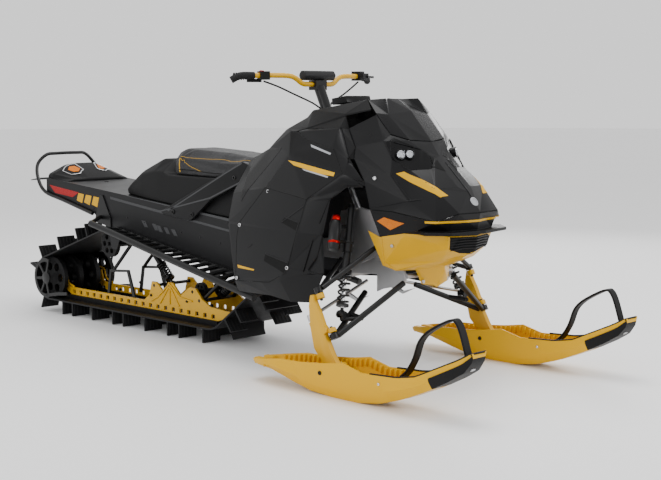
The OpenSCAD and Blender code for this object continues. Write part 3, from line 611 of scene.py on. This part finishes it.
# parting lines, folds and the wheel arch's edge: lines, width, finish, lift and depth
sideLines = {
    "sideSeam": ([
        [(375, -330, 767), (672, -378, 736), (650, -394, 644), (638, -400, 607), (599, -409, 473),
         (578, -410, 429), (474, -405, 381), (219, -367, 358)],
        [(375, -330, 767), (235, -353, 613), (220, -357, 548), (219, -367, 358)],
        [(431, -233, 1000), (456, -266, 906), (375, -330, 767)],
        [(672, -378, 736), (800, -301, 842), (721, -272, 938), (544, -248, 969), (480, -236, 1000)],
    ], 3.0, "seamBlack", 0.35, 2.0),
    "sideFold": ([
        [(664, -383, 709), (311, -371, 512)],
        [(545, -377, 656), (645, -394, 640), (636, -400, 606)],
        [(437, -389, 496), (598, -410, 473), (577, -410, 428)],
    ], 5.0, "satinPanel", 1.6, 3.0),
    "archEdge": ([
        [(874, -260, 790), (825, -302, 793), (761, -346, 730), (703, -381, 563), (670, -399, 442)],
    ], 7.0, "blackPlastic", 2.4, 4.0),
}
for name, (lines, *look) in sideLines.items():
    bothSides(seam, name, sides, lines, *look)
sideFasteners = [(place, (0.2, 1, 0.1), 9.0)  # place, axis, radius
                 for place in ((395, 331, 752), (236, 352, 600), (590, 409, 452), (232, 369, 372))]
heads("sideFasteners", "steel", "chassis", mirrored(sideFasteners))
print("side panels dressed")

# hood and nose: each patch's node, outline, finish, lift and thickness
noseArt = {
    "lampPocket": ("hood", [(941, -201, 968), (952, -162, 983), (1022, -83, 940), (1049, -24, 912),
                            (1072, -79, 862), (1047, -168, 859), (1025, -183, 864), (974, -206, 916)],
                   "glossPanel", 0.8, 2.2),
    "hoodStripe": ("hood", [(1002, -206, 846), (1026, -185, 854), (1192, -111, 763), (1183, -149, 757)],
                   "lineYellow", 0.7, 1.2),
    "hoodScoop": ("hood", [(1073, -76, 862), (1065, -30, 897), (1115, -36, 852)], "seamBlack", 0.9, 2.2),
    "trimReflector": ("front_trim", [(939, -246, 657), (974, -244, 674), (1068, -229, 655), (999, -234, 624)],
                      "amberPrism", 1.6, 3.0),
    "intakeMesh": ("console", [(725, -224, 1018), (740, -205, 1017), (770, -215, 992), (811, -228, 951),
                               (779, -245, 939)], "seamBlack", 0.8, 2.2),
}
for name, (node, outline, *look) in noseArt.items():
    bothSides(patch, name, node, outline, *look)
hoodFolds = [
    [(1079, 8, 885), (1203, 0, 773), (1252, 0, 704)],
    [(859, -203, 998), (992, -217, 838), (1084, -209, 742)],
    [(859, 203, 998), (992, 217, 838), (1084, 209, 742)],
    [(910, -253, 708), (1074, -214, 742), (1183, -149, 757)],
    [(910, 253, 708), (1074, 214, 742), (1183, 149, 757)],
]
seam("hoodFolds", "hood", hoodFolds, 5.0, "satinPanel", 2.0, 3.5)
print("nose dressed")

headlamp = {"aim": (0.8, 0.5, 0.25), "bowls": ((998, 172, 920, 17), (1018, 142, 922, 15)),  # place, radius
            "bowlDepth": 14, "rimWall": 4, "rimDepth": 22}


def addLamps():
    # two bright bowls a side, each under a clear cover, in the lamp's dark pocket
    bowls, covers, rims = bmesh.new(), bmesh.new(), bmesh.new()
    aimX, aimY, aimZ = headlamp["aim"]
    deep, wall, back = headlamp["bowlDepth"], headlamp["rimWall"], headlamp["rimDepth"]
    for side in (-1, 1):
        aim = Vector((aimX, side * aimY, aimZ))
        for x, y, z, r in headlamp["bowls"]:
            place = (x, side * y, z)
            spun(bowls, place, aim, [(0, -deep), (6, -deep), (r - 2, 0), (r, 0), (r, -6)], 24)
            spun(covers, place, aim, [(r + 1, 1), (r - 2, 5), (r * 0.5, 7), (0, 7.5)], 24)
            spun(rims, place, aim, [(r + 1 + wall, -back), (r + 1 + wall, 3), (r + 1, 4), (r + 1, -back)], 24)
    lamp = build("lampBowls", bowls, "polished", "chassis", slotOf["headlights"], 40.0)
    build("lampCovers", covers, "lampGlass", "chassis", slotOf["headlights"], 60.0)
    build("lampRims", rims, "glossPanel", "chassis", sharp=35.0)
    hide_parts("headlights")


addLamps()

grille = {
    "pane": [(1205, -118, 553), (1226, -60, 530), (1232, 0, 526), (1226, 60, 530), (1205, 118, 553),
             (1212, 128, 604), (1240, 70, 598), (1246, 0, 596), (1240, -70, 598), (1212, -128, 604)],
    "ribs": ((2, 596), (4, 585), (6, 574), (8, 563), (14, 552)),  # inset at the ends, height
    "lip": [(1160, -212, 664), (1195, -190, 664), (1222, -150, 665), (1243, 0, 663), (1222, 150, 665),
            (1195, 190, 664), (1160, 212, 664)],
    "keelEdge": [(957, 240, 592), (947, 213, 487), (988, 191, 459), (1231, 5, 536)],
}


def addGrille():
    # black ribbed intake in the pan's front, the yellow lip above it and the pan's folds
    patch("grillePane", "belly_pan", grille["pane"], "seamBlack", 1.0, 3.0)
    ribs = [[(1200, -122 + inset, z), (1236, -62, z), (1243, 0, z), (1236, 62, z), (1200, 122 - inset, z)]
            for inset, z in grille["ribs"]]
    seam("grilleRibs", "belly_pan", ribs, 6.0, "satinPanel", 6.0, 6.0, (0.9, 0, 0.56))
    skins["nose"] = joinedSkin("hood", "front_trim")
    seam("noseLip", "nose", [grille["lip"]], 9.0, "lineYellow", 3.0, 4.0, (0.9, 0, 0.66), cast=True)
    keelEdges = [flipped(grille["keelEdge"]), grille["keelEdge"]]
    seam("panFolds", "belly_pan", keelEdges, 5.0, "yellowPanel", 1.6, 3.0, (0.95, 0, 0.56))


addGrille()

emblem = {"place": (1232, 0, 735), "axis": (0.86, 0, 0.5),  # a plain raised disc
          "profile": [(20, -10), (20, 2), (17, 4), (13, 4), (13, 2.5), (0, 2.5)]}
work = bmesh.new()
spun(work, emblem["place"], emblem["axis"], emblem["profile"], 32)
build("noseDisc", work, "linePale", "chassis")
noseBolts = [((917, 237, 825), (0.5, 1, 0.2), 9.0), ((1034, 75, 404), (0, 0, -1), 8.0),
             ((1000, 226, 560), (0.3, 1, 0), 7.0)]
heads("noseBolts", "steel", "chassis", mirrored(noseBolts))


# skis, loops and spindles; plan, rim and sole are tables of (place along the ski, value)

ski = {
    "centre": 495, "halfWidth": 81, "keel": 50, "wall": 7, "floor": 11, "pivot": (943, 94),
    "plan": [(521, 0.54), (600, 0.86), (690, 1.0), (1400, 1.0), (1560, 0.8), (1655, 0.5)],
    "rim": [(521, 88), (600, 100), (717, 118), (840, 122), (968, 135), (1060, 150), (1160, 126), (1334, 134),
            (1422, 150), (1545, 206), (1600, 232), (1640, 256), (1655, 262)],
    "sole": [(521, 72), (640, 60), (760, 30), (860, 8), (980, 0), (1120, 0), (1230, 16), (1330, 46),
             (1450, 96), (1560, 152), (1628, 194), (1648, 226), (1655, 250)],
    "hull": [521, 560, 600, 640, 690, *range(720, 1640, 20), 1648, 1654],
    "guard": [*range(1480, 1640, 20), 1648, 1653],
    "loop": [(1304, 0, 124), (1330, 0, 148), (1362, 0, 200), (1386, 0, 262), (1420, 0, 300), (1478, 0, 336),
             (1532, 0, 361), (1556, 0, 358), (1578, 0, 322), (1606, 0, 240)],
    "loopFeet": ((1308, 104), (1604, 222)),
    "bolts": ((1300, 24, 104, 7.0), (1606, 24, 226, 7.0), (1250, 79, 98, 6.5)),  # place, radius
}


def level(table, x):
    # a value read off a table of (place, value)
    (x0, a), (x1, b) = next(pair for pair in zip(table, table[1:]) if pair[0][0] <= x <= pair[1][0])
    return a + (b - a) * (x - x0) / (x1 - x0)


def skiRing(x, grow=0.0, cover=1.0):
    # the hull's section: keel, bilge, wall and rim, then back along the inside
    wide = level(ski["plan"], x) * ski["halfWidth"] + grow
    keel = min(wide - 6, ski["keel"])
    sole = level(ski["sole"], x) - grow
    rim = max(level(ski["rim"], x), sole + 9) + grow
    bilge = sole + (rim - sole) * 0.45
    top = bilge + (rim - bilge) * cover
    wall, floor = ski["wall"], min(sole + ski["floor"], rim - 3)
    outer = [(keel, sole), (wide - 3, bilge), (wide, top)]
    inner = [(wide - wall, top), (wide - wall - 3, max(floor, bilge)), (keel - 6, floor)]
    return [(-u, v) for u, v in outer[::-1]] + outer + inner + [(-u, v) for u, v in inner[::-1]]


def loft(work, stations, y, **shape):
    closeRings(work, [[work.verts.new(point((x, y + u, v))) for u, v in skiRing(x, **shape)] for x in stations])


def addSkiHull(y, label, body):
    hull = bmesh.new()
    loft(hull, ski["hull"], y)
    shell = build("skiShell" + label, hull, "skiPlastic", body, slotOf[body], 28.0)
    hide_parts(body)
    guard = bmesh.new()
    loft(guard, ski["guard"], y, grow=0.8, cover=0.35)
    build("skiTipGuard" + label, guard, "blackPlastic", body, sharp=28.0)


def addSkiFittings(y, label, body):
    # saddle cheeks with the pivot, tail tabs and the loop's feet
    fittings = bmesh.new()
    pivotX, pivotZ = ski["pivot"]
    for s in (-1, 1):
        cheek, tab = y + s * 48, y + s * 26
        block(fittings, (880, cheek - 8, 20), (1008, cheek + 8, 96), 3.0)
        spun(fittings, (pivotX, cheek - 9, pivotZ), (0, 1, 0), [(24, 0), (24, 18)], 24)
        block(fittings, (524, tab - 13, 66), (575, tab + 13, 92), 3.0)
    for x, z in ski["loopFeet"]:
        block(fittings, (x - 20, y - 26, z - 30), (x + 20, y + 26, z + 12), 4.0)
    spun(fittings, (pivotX, y - 70, pivotZ), (0, 1, 0), [(7, 0), (7, 140)], 16)
    build("skiFittings" + label, fittings, "skiPlastic", body, sharp=35.0)


def addSkiLoop(y, label, body):
    # a flat strap, wider at its rear foot
    strap = bmesh.new()
    line = atSide(curve(ski["loop"], 5), y)
    flare = [1.0 + 0.25 * max(0.0, 1 - i / 8) for i in range(len(line))]
    bar(strap, line, 38, 9, scale=flare)
    loop = build("loopStrap" + label, strap, "blackPlastic", body, slotOf["ski_loop_" + label.lower()], 35.0)
    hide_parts("ski_loop_" + label.lower())


def addSkiTrim(y, label, body):
    # black edging round the tip, ribs inside the walls and across the floor, steel runner
    edge = bmesh.new()
    for s in (-1, 1):
        rim = [point((x, y + s * (level(ski["plan"], x) * ski["halfWidth"] - 4), level(ski["rim"], x) + 1))
               for x in range(1636, 1180, -24)]
        bar(edge, rim, 6, 9, (0, 0, 1))
    tip = [point((1648, y + 42 * (i / 4 - 1), 258)) for i in range(9)]
    bar(edge, tip, 9, 9, (0, 0, 1))
    build("skiEdge" + label, edge, "blackPlastic", body, sharp=35.0)

    ribs = bmesh.new()
    for s in (-1, 1):
        for x in range(610, 1261, 26):
            z = level(ski["rim"], x)
            wall = y + s * (level(ski["plan"], x) * ski["halfWidth"] - 12)
            block(ribs, (x - 3, wall - 8, z - 34), (x + 3, wall + 8, z - 5), 1.2)
    for x in range(640, 1447, 62):
        floor = level(ski["sole"], x) + 10
        if not 850 < x < 1030:  # clear of the saddle
            block(ribs, (x - 3, y - 46, floor - 4), (x + 3, y + 46, floor + 14), 1.2)
    build("skiRibs" + label, ribs, "skiPlastic", body, sharp=35.0)

    runner = bmesh.new()
    bar(runner, [point((x, y, z + 3)) for x, z in ski["sole"][1:-2]], 22, 6)
    build("skiRunner" + label, runner, "steel", body, sharp=35.0)


def addSkiBolts(y, label, body):
    pivotX, pivotZ = ski["pivot"]
    heads("skiBolts" + label, "polished", body, [
        ((x, y + s * out, z), (0, s, 0), radius) for x, out, z, radius in ski["bolts"] for s in (-1, 1)])
    heads("skiPivot" + label, "blackCoat", body, [
        ((pivotX, y + s * 78, pivotZ), (0, s, 0), 9.0) for s in (-1, 1)])


for side, label in ((-1, "Right"), (1, "Left")):
    for add in (addSkiHull, addSkiFittings, addSkiLoop, addSkiTrim, addSkiBolts):
        add(side * ski["centre"], label, "ski_" + label.lower())
for label in ("right", "left"):
    softened("spindle_" + label, "spindleForging" + label.title(), "yellowCoat", 3.0, 0.1)
print("skis dressed")


# seat

cushion = {"cell": 6.0, "heldHeight": 18, "frames": 20, "mostShift": 7, "cloth": {
    "quality": 6, "mass": 0.25, "tension_stiffness": 22, "compression_stiffness": 12, "bending_stiffness": 0.6,
    "use_pressure": True, "uniform_pressure_force": 4.0}}


def evaluated(piece):
    return bpy.data.meshes.new_from_object(piece.evaluated_get(bpy.context.evaluated_depsgraph_get()))


def puffed(source):
    # the plain cushion, remeshed and blown up a little as cloth over foam
    pad = bpy.data.objects.new("seatPad", source.data.copy())
    bpy.context.scene.collection.objects.link(pad)
    grid = pad.modifiers.new("grid", "REMESH")
    grid.mode = "VOXEL"
    grid.voxel_size = cushion["cell"] * mm
    mesh = evaluated(pad)
    pad.modifiers.clear()
    pad.data = mesh
    rest = [v.co.copy() for v in mesh.vertices]
    floor = min(p.z for p in rest) + cushion["heldHeight"] * mm
    held = pad.vertex_groups.new(name="held")
    held.add([i for i, p in enumerate(rest) if p.z < floor], 1.0, "REPLACE")
    cloth = pad.modifiers.new("cloth", "CLOTH")
    cloth.settings.vertex_group_mass = "held"
    for key, value in cushion["cloth"].items():
        setattr(cloth.settings, key, value)
    cloth.settings.effector_weights.gravity = 0.0
    cloth.point_cache.frame_start, cloth.point_cache.frame_end = 1, cushion["frames"]
    for step in range(1, cushion["frames"] + 1):
        bpy.context.scene.frame_set(step)
    settled = evaluated(pad)
    pad.modifiers.clear()
    pad.vertex_groups.clear()
    pad.data = settled
    for v, start in zip(settled.vertices, rest):
        shift = v.co - start
        v.co = start + shift * min(1.0, cushion["mostShift"] * mm / max(shift.length, 1e-9))
    bpy.context.scene.frame_set(1)
    return pad


def addSeat():
    pad = puffed(cadNodes["seat"])
    bpy.context.view_layer.objects.active = pad
    pad.modifiers.new("fine", "SUBSURF").levels = 1
    mesh = evaluated(pad)
    bpy.data.objects.remove(pad)
    seat = show("seatPad", mesh, "seatVinyl", "chassis", 60.0)
    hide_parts("seat")
    return seat


seatPad = addSeat()
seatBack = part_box("seat")[0][0] / mm
# strips on the seat: lines on the left side, width, finish, lift and depth
seatLines = {
    "seatStripe": ([[(seatBack + 58, 172, 792), (seatBack + 44, 168, 830), (seatBack + 40, 158, 868)]],
                   6.0, "lineYellow", 1.2, 3.0),
    "seatStitching": ([[(seatBack + 52, 160, 866), (-330, 172, 822), (-250, 172, 800)],
                       [(seatBack + 46, 150, 880), (-220, 150, 884), (60, 130, 880)]],
                      1.5, "lineYellow", 0.7, 1.5),
    "seatWelt": ([[(seatBack + 30, 165, 806), (-200, 172, 800), (90, 165, 800)]], 3.0, "seamBlack", 1.6, 3.4),
}
seatCore = (-0.2, 0, 0.74)
for name, (lines, *look) in seatLines.items():
    seam(name, seatPad, [flipped(line) for line in lines] + lines, *look, seatCore)
print("seat settled")


# tunnel, deck and tail: outlines on the tunnel's wall as (x, z)

tunnelArt = {
    "wall": 205,
    "reflector": [(-1442, 686), (-1177, 659), (-1233, 632), (-1393, 646)],
    "bars": {"first": -1180, "step": 66, "count": 3},
    "slots": ((-627, 534), (-545, 524), (-510, 518), (-455, 513), (-399, 508)),
    "bandHigh": [(-766, 678), (4, 601), (4, 588), (-766, 662)],
    "bandLow": [(-906, 652), (-478, 604), (-261, 580), (3, 550), (3, 540), (-478, 592), (-906, 640)],
    "rivets": range(-1330, 60, 140),
}


def onWall(name, outline, finish, lift, thick):
    places = [(x, -tunnelArt["wall"], z) for x, z in outline]
    bothSides(patch, name, "tunnel", places, finish, lift, thick, 30.0)


onWall("tailReflector", tunnelArt["reflector"], "redPrism", 1.0, 1.4)
for k in range(tunnelArt["bars"]["count"]):
    start = tunnelArt["bars"]["first"] + tunnelArt["bars"]["step"] * k
    outline = [(start, 656 - 5 * k), (start + 48, 652 - 5 * k),
               (start + 30, 606 - 7 * k), (start - 18, 618 - 7 * k)]
    onWall("tailBar%d" % k, outline, "lineYellow", 0.7, 1.0)
for k, (x, z) in enumerate(tunnelArt["slots"]):
    outline = [(x - 26, z + 16), (x + 4, z + 15), (x + 24, z - 14), (x - 2, z - 14)]
    onWall("tunnelSlot%d" % k, outline, "slateCoat", 1.4, 1.6)
for name in ("bandHigh", "bandLow"):
    onWall(name, tunnelArt[name], "slateCoat", 0.7, 1.0)
rivets = [((x, tunnelArt["wall"], 560 - 0.083 * (x + 1000) - 0.02 * x), (0, 1, 0), 5.0)
          for x in tunnelArt["rivets"]]
heads("tunnelRivets", "blackCoat", "chassis", mirrored(rivets), domeHead, 10)
print("tunnel dressed")

tailLamp = {
    "ring": [(-1420, 60, 790), (-1365, 45, 790), (-1345, 80, 785), (-1365, 120, 780), (-1415, 140, 775),
             (-1440, 100, 780)],
    "middle": (-1392, 90), "shrink": (0.6, 0.55),
}


def addTailLamps():
    # polished six-sided rims with amber inside, on the tail cover
    rims = bmesh.new()
    skin = skinOf("tail_cover")
    (midX, midY), (shrinkX, shrinkY) = tailLamp["middle"], tailLamp["shrink"]
    for s, label in ((-1, "Right"), (1, "Left")):
        ring = [(x, s * y, z) for x, y, z in tailLamp["ring"]]
        line = []
        for spot in stretch([*ring, ring[0]], 8.0):
            hit = skin.ray_cast(spot + Vector((0, 0, 0.1)), Vector((0, 0, -1)), 0.4)[0] or spot
            line.append(hit + Vector((0, 0, 1.5 * mm)))
        bar(rims, line, 4, 6, (0, 0, 1))
        amber = [(x * shrinkX + midX * (1 - shrinkX), y * shrinkY + s * midY * (1 - shrinkY), z)
                 for x, y, z in ring]
        patch("tailAmber" + label, "tail_cover", amber, "amberPrism", 1.6, 3.0)
    build("tailRims", rims, "polished", "chassis", sharp=35.0)


addTailLamps()


# track, wheels and skid

lugRib = {"count": 5, "wide": 5.0, "proud": 4.0, "taper": [1.0, 0.9, 0.55]}


def addLugRibs():
    # every lug is a blade with upright ribs, found from the flat faces of the plain lugs
    work = bmesh.new()
    lugs = welded("track")
    for face in lugs.faces:
        if len(face.verts) != 4 or abs(face.normal.y) > 0.1:
            continue
        a, b, c, d = (v.co for v in face.verts)
        first, second = b - a, d - a
        across, up = (first, second) if abs(first.y) > abs(second.y) else (second, first)
        if not 0.06 < across.length < 0.2 or not 0.03 < up.length < 0.08 or abs(across.normalized().y) < 0.9:
            continue
        for k in range(lugRib["count"]):
            foot = a + across * (k + 0.5) / lugRib["count"]
            line = [foot + up * 0.06, foot + up * 0.5, foot + up * 0.94]
            bar(work, line, lugRib["wide"], lugRib["proud"], across, lugRib["taper"])
    lugs.free()
    print("lug ribs:", len(work.faces) // 18)
    build("lugRibs", work, "trackRubber", "chassis", slotOf["track"], 40.0)


addLugRibs()

axleHook = {"x": -1497, "z": 186, "side": 209, "radius": 96, "turns": range(70, 291, 10),
            "spokes": (75, 130, 185, 240, 285), "foot": [(-1497, 92), (-1380, 112), (-1300, 120)]}
railBolts = [((x, 119, 168), (0, 1, 0), 7.0) for x in (-1380, -1100, -960, -700, -420, -240)]


def roundAxle(radius, turn, y):
    turn = math.radians(turn)
    return axleHook["x"] + radius * math.cos(turn), y, axleHook["z"] + radius * math.sin(turn)


def addSkidTrim():
    # spoked hooks at the rear axle, and bolts along the rails
    hook = bmesh.new()
    for s in (-1, 1):
        y = s * axleHook["side"]
        bar(hook, [point(roundAxle(axleHook["radius"], t, y)) for t in axleHook["turns"]], 6, 20)
        bar(hook, stretch([(x, y, z) for x, z in axleHook["foot"]], 40), 6, 18)
        hub = (axleHook["x"], y - s * 8, axleHook["z"])
        spun(hook, hub, (0, s, 0), [(34, 0), (34, 8), (20, 12), (0, 12)], 20)
        for turn in axleHook["spokes"]:
            spoke = [roundAxle(0, turn, y - s), roundAxle(axleHook["radius"] - 2, turn, y - s)]
            bar(hook, stretch(spoke, 40), 6, 15)
    build("axleHooks", hook, "blackCoat", "chassis", sharp=35.0)
    heads("railBolts", "blackCoat", "chassis", mirrored(railBolts))


addSkidTrim()

rails = {
    "hookSide": 122, "trussSide": 120,
    "hook": [(-1436, 0, 128), (-1500, 0, 168), (-1560, 0, 186), (-1560, 0, 204), (-1521, 0, 216),
             (-1454, 0, 216), (-1427, 0, 199), (-1410, 0, 160), (-1360, 0, 143)],
    "truss": [[(-700, 0, 140), (-640, 0, 170), (-553, 0, 240), (-470, 0, 182), (-380, 0, 172)],
              [(-553, 0, 236), (-553, 0, 140)], [(-629, 0, 136), (-553, 0, 232)],
              [(-480, 0, 136), (-553, 0, 232)]],
}
braces = {
    "side": 226,
    "bolts": [((x, 225, z), (0, 1, 0), 11.0) for x, z in ((-379, 610), (-239, 606), (60, 790))],
    "ridges": [[(-476, 0, 607), (-111, 0, 690), (120, 0, 780)], [(-420, 0, 612), (-5, 0, 806), (110, 0, 856)]],
}


def addRailEnds():
    # yellow loops of the rails' rear brackets, and the raised ribs of the truss plates
    loops = bmesh.new()
    for s in (-1, 1):
        bar(loops, atSide(curve(rails["hook"], 4), s * rails["hookSide"]), 6, 9)
        for places in rails["truss"]:
            bar(loops, atSide(stretch(places, 30), s * rails["trussSide"]), 6, 9)
    build("railBrackets", loops, "yellowCoat", "chassis", slotOf["skid_rails"], 35.0)


def addBraceTrim():
    # bolts and pale ridges along the side braces
    heads("braceBolts", "blackCoat", "chassis", mirrored(braces["bolts"]))
    edges = bmesh.new()
    for s in (-1, 1):
        for places in braces["ridges"]:
            bar(edges, atSide(stretch(places, 40), s * braces["side"]), 3, 7)
    build("braceRidges", edges, "slateCoat", "chassis", sharp=35.0)


addRailEnds()
addBraceTrim()
print("track dressed")


# shocks: heights are along the shock, from its foot

shock = {
    "foot": (872, 380, 295), "top": (775, 222, 705),
    "canHeight": 330, "canShift": (-11, 72, 0), "clamps": (-30, 34),
    "can": [(0, -62), (20, -62), (25, -54), (25, 50), (20, 60), (0, 60)],
    "collarHeight": 250, "collar": [(21, 0), (21, 36), (24, 38), (24, 44), (18, 46)],
    "ring": [(25.6, -36), (25.6, -28), (25.1, -27)],
    "knob": [(14, 58), (19, 63), (19, 76), (15, 84), (0, 84)],
    "shaftHeight": 20, "shaft": [(8, 0), (8, 120), (7, 121)],
}


def addShock(side, label):
    foot, top, shift = (Vector((x, side * y, z)) for x, y, z in (shock[k] for k in ("foot", "top", "canShift")))
    axis = (top - foot).normalized()
    can = foot + axis * shock["canHeight"] + shift
    work = bmesh.new()
    spun(work, can, axis, shock["can"], 24)
    spun(work, foot + axis * shock["collarHeight"], axis, shock["collar"], 24)
    for up in shock["clamps"]:
        clamp = [point(can + axis * up), point(foot + axis * (shock["canHeight"] + up))]
        bar(work, clamp, 14, 10, axis)
    build("shockCan" + label, work, "blackCoat", "chassis", sharp=35.0)
    work = bmesh.new()
    spun(work, can, axis, shock["ring"], 24)
    spun(work, can, axis, shock["knob"], 8)
    build("shockKnob" + label, work, "redAnodised", "chassis", sharp=25.0)
    work = bmesh.new()
    spun(work, foot + axis * shock["shaftHeight"], axis, shock["shaft"], 16)
    build("shockShaft" + label, work, "polished", "chassis", sharp=35.0)


addShock(-1, "Right")
addShock(1, "Left")
print("shocks dressed")


# handlebar trim

bars = {
    "button": (324, -300, 1251), "buttonProfile": [(11, -6), (11, 4), (9, 7), (0, 8)],
    "rings": 7, "firstRing": (292, 346, 1236), "ringStep": (-4.5, 9, -0.6), "gripAxis": (-0.4, 1, -0.05),
    "ringProfile": [(15, 0), (16.6, 1), (16.6, 3), (15, 4)],
}


def addBarTrim():
    work = bmesh.new()
    spun(work, bars["button"], (0, 0.1, 1), bars["buttonProfile"], 20)
    build("stopButton", work, "redAnodised", "steering", sharp=35.0)
    work = bmesh.new()
    first, step, (axisX, axisY, axisZ) = Vector(bars["firstRing"]), Vector(bars["ringStep"]), bars["gripAxis"]
    for side in (-1, 1):
        for k in range(bars["rings"]):
            x, y, z = first + step * k
            spun(work, (x, side * y, z), (axisX, side * axisY, axisZ), bars["ringProfile"], 20)
    build("gripRings", work, "gripRubber", "steering", sharp=35.0)


addBarTrim()
print("bars dressed")


# camera, floor and light

view = {"place": (4.40754, -4.02040, 1.15505), "turn": 44.298, "down": 6.362, "roll": -0.06,
        "sensor": 36.0, "lens": 70.53, "shiftX": -0.01227, "shiftY": -0.00106, "far": 100.0}


def addCamera():
    data = bpy.data.cameras.new("camera")
    camera = bpy.data.objects.new("camera", data)
    bpy.context.scene.collection.objects.link(camera)
    turn, down, roll = (math.radians(view[k]) for k in ("turn", "down", "roll"))
    facing = (Matrix.Rotation(turn, 4, "Z") @ Matrix.Rotation(math.pi / 2 - down, 4, "X")
              @ Matrix.Rotation(roll, 4, "Z"))
    camera.matrix_world = Matrix.Translation(view["place"]) @ facing
    data.sensor_width, data.lens = view["sensor"], view["lens"]
    data.shift_x, data.shift_y = view["shiftX"], view["shiftY"]
    data.clip_end = view["far"]
    bpy.context.scene.camera = camera


ground = {"radius": 40.0, "dark": (0.86, 0.86, 0.865), "pale": (0.9, 0.9, 0.9)}


def addFloor():
    skin = Finish("floorPaint")
    cloud = skin.noise(0.8, 3.0)
    skin.set(Base_Color=skin.mix(cloud, ground["dark"], ground["pale"]), Roughness=0.6 + cloud * 0.1)
    work = bmesh.new()
    bmesh.ops.create_circle(work, cap_ends=True, segments=64, radius=ground["radius"])
    mesh = bpy.data.meshes.new("floor")
    work.to_mesh(mesh)
    work.free()
    mesh.materials.append(skin.material)
    floor = bpy.data.objects.new("floor", mesh)
    bpy.context.scene.collection.objects.link(floor)


# area lights: place, aim, width, height and power in watts
lights = {
    "overhead": ((0.3, 0.2, 4.6), (0.0, 0.0, 0.4), 3.2, 2.6, 120.0),
    "noseSide": ((4.6, 1.6, 2.6), (0.6, 0.0, 0.5), 1.8, 1.6, 60.0),
    "nearSide": ((0.2, -5.0, 2.2), (0.0, 0.0, 0.5), 3.5, 1.2, 60.0),
    "farSide": ((-2.0, 4.5, 2.4), (0.0, 0.0, 0.6), 3.5, 1.4, 70.0),
}
studio = {"colour": (1.0, 1.0, 1.0, 1.0), "strength": 1.15}


def addLight():
    world = bpy.data.worlds.new("studio")
    world.use_nodes = True
    background = world.node_tree.nodes["Background"]
    background.inputs[0].default_value = studio["colour"]
    background.inputs[1].default_value = studio["strength"]
    bpy.context.scene.world = world
    for name, (place, aim, width, height, power) in lights.items():
        data = bpy.data.lights.new(name, "AREA")
        data.shape, data.size, data.size_y, data.energy = "RECTANGLE", width, height, power
        light = bpy.data.objects.new(name, data)
        light.matrix_world = Matrix.Translation(place) @ (
            Vector(aim) - Vector(place)).to_track_quat("-Z", "Y").to_matrix().to_4x4()
        bpy.context.scene.collection.objects.link(light)


addCamera()
addFloor()
addLight()
print("camera, floor and light ready")
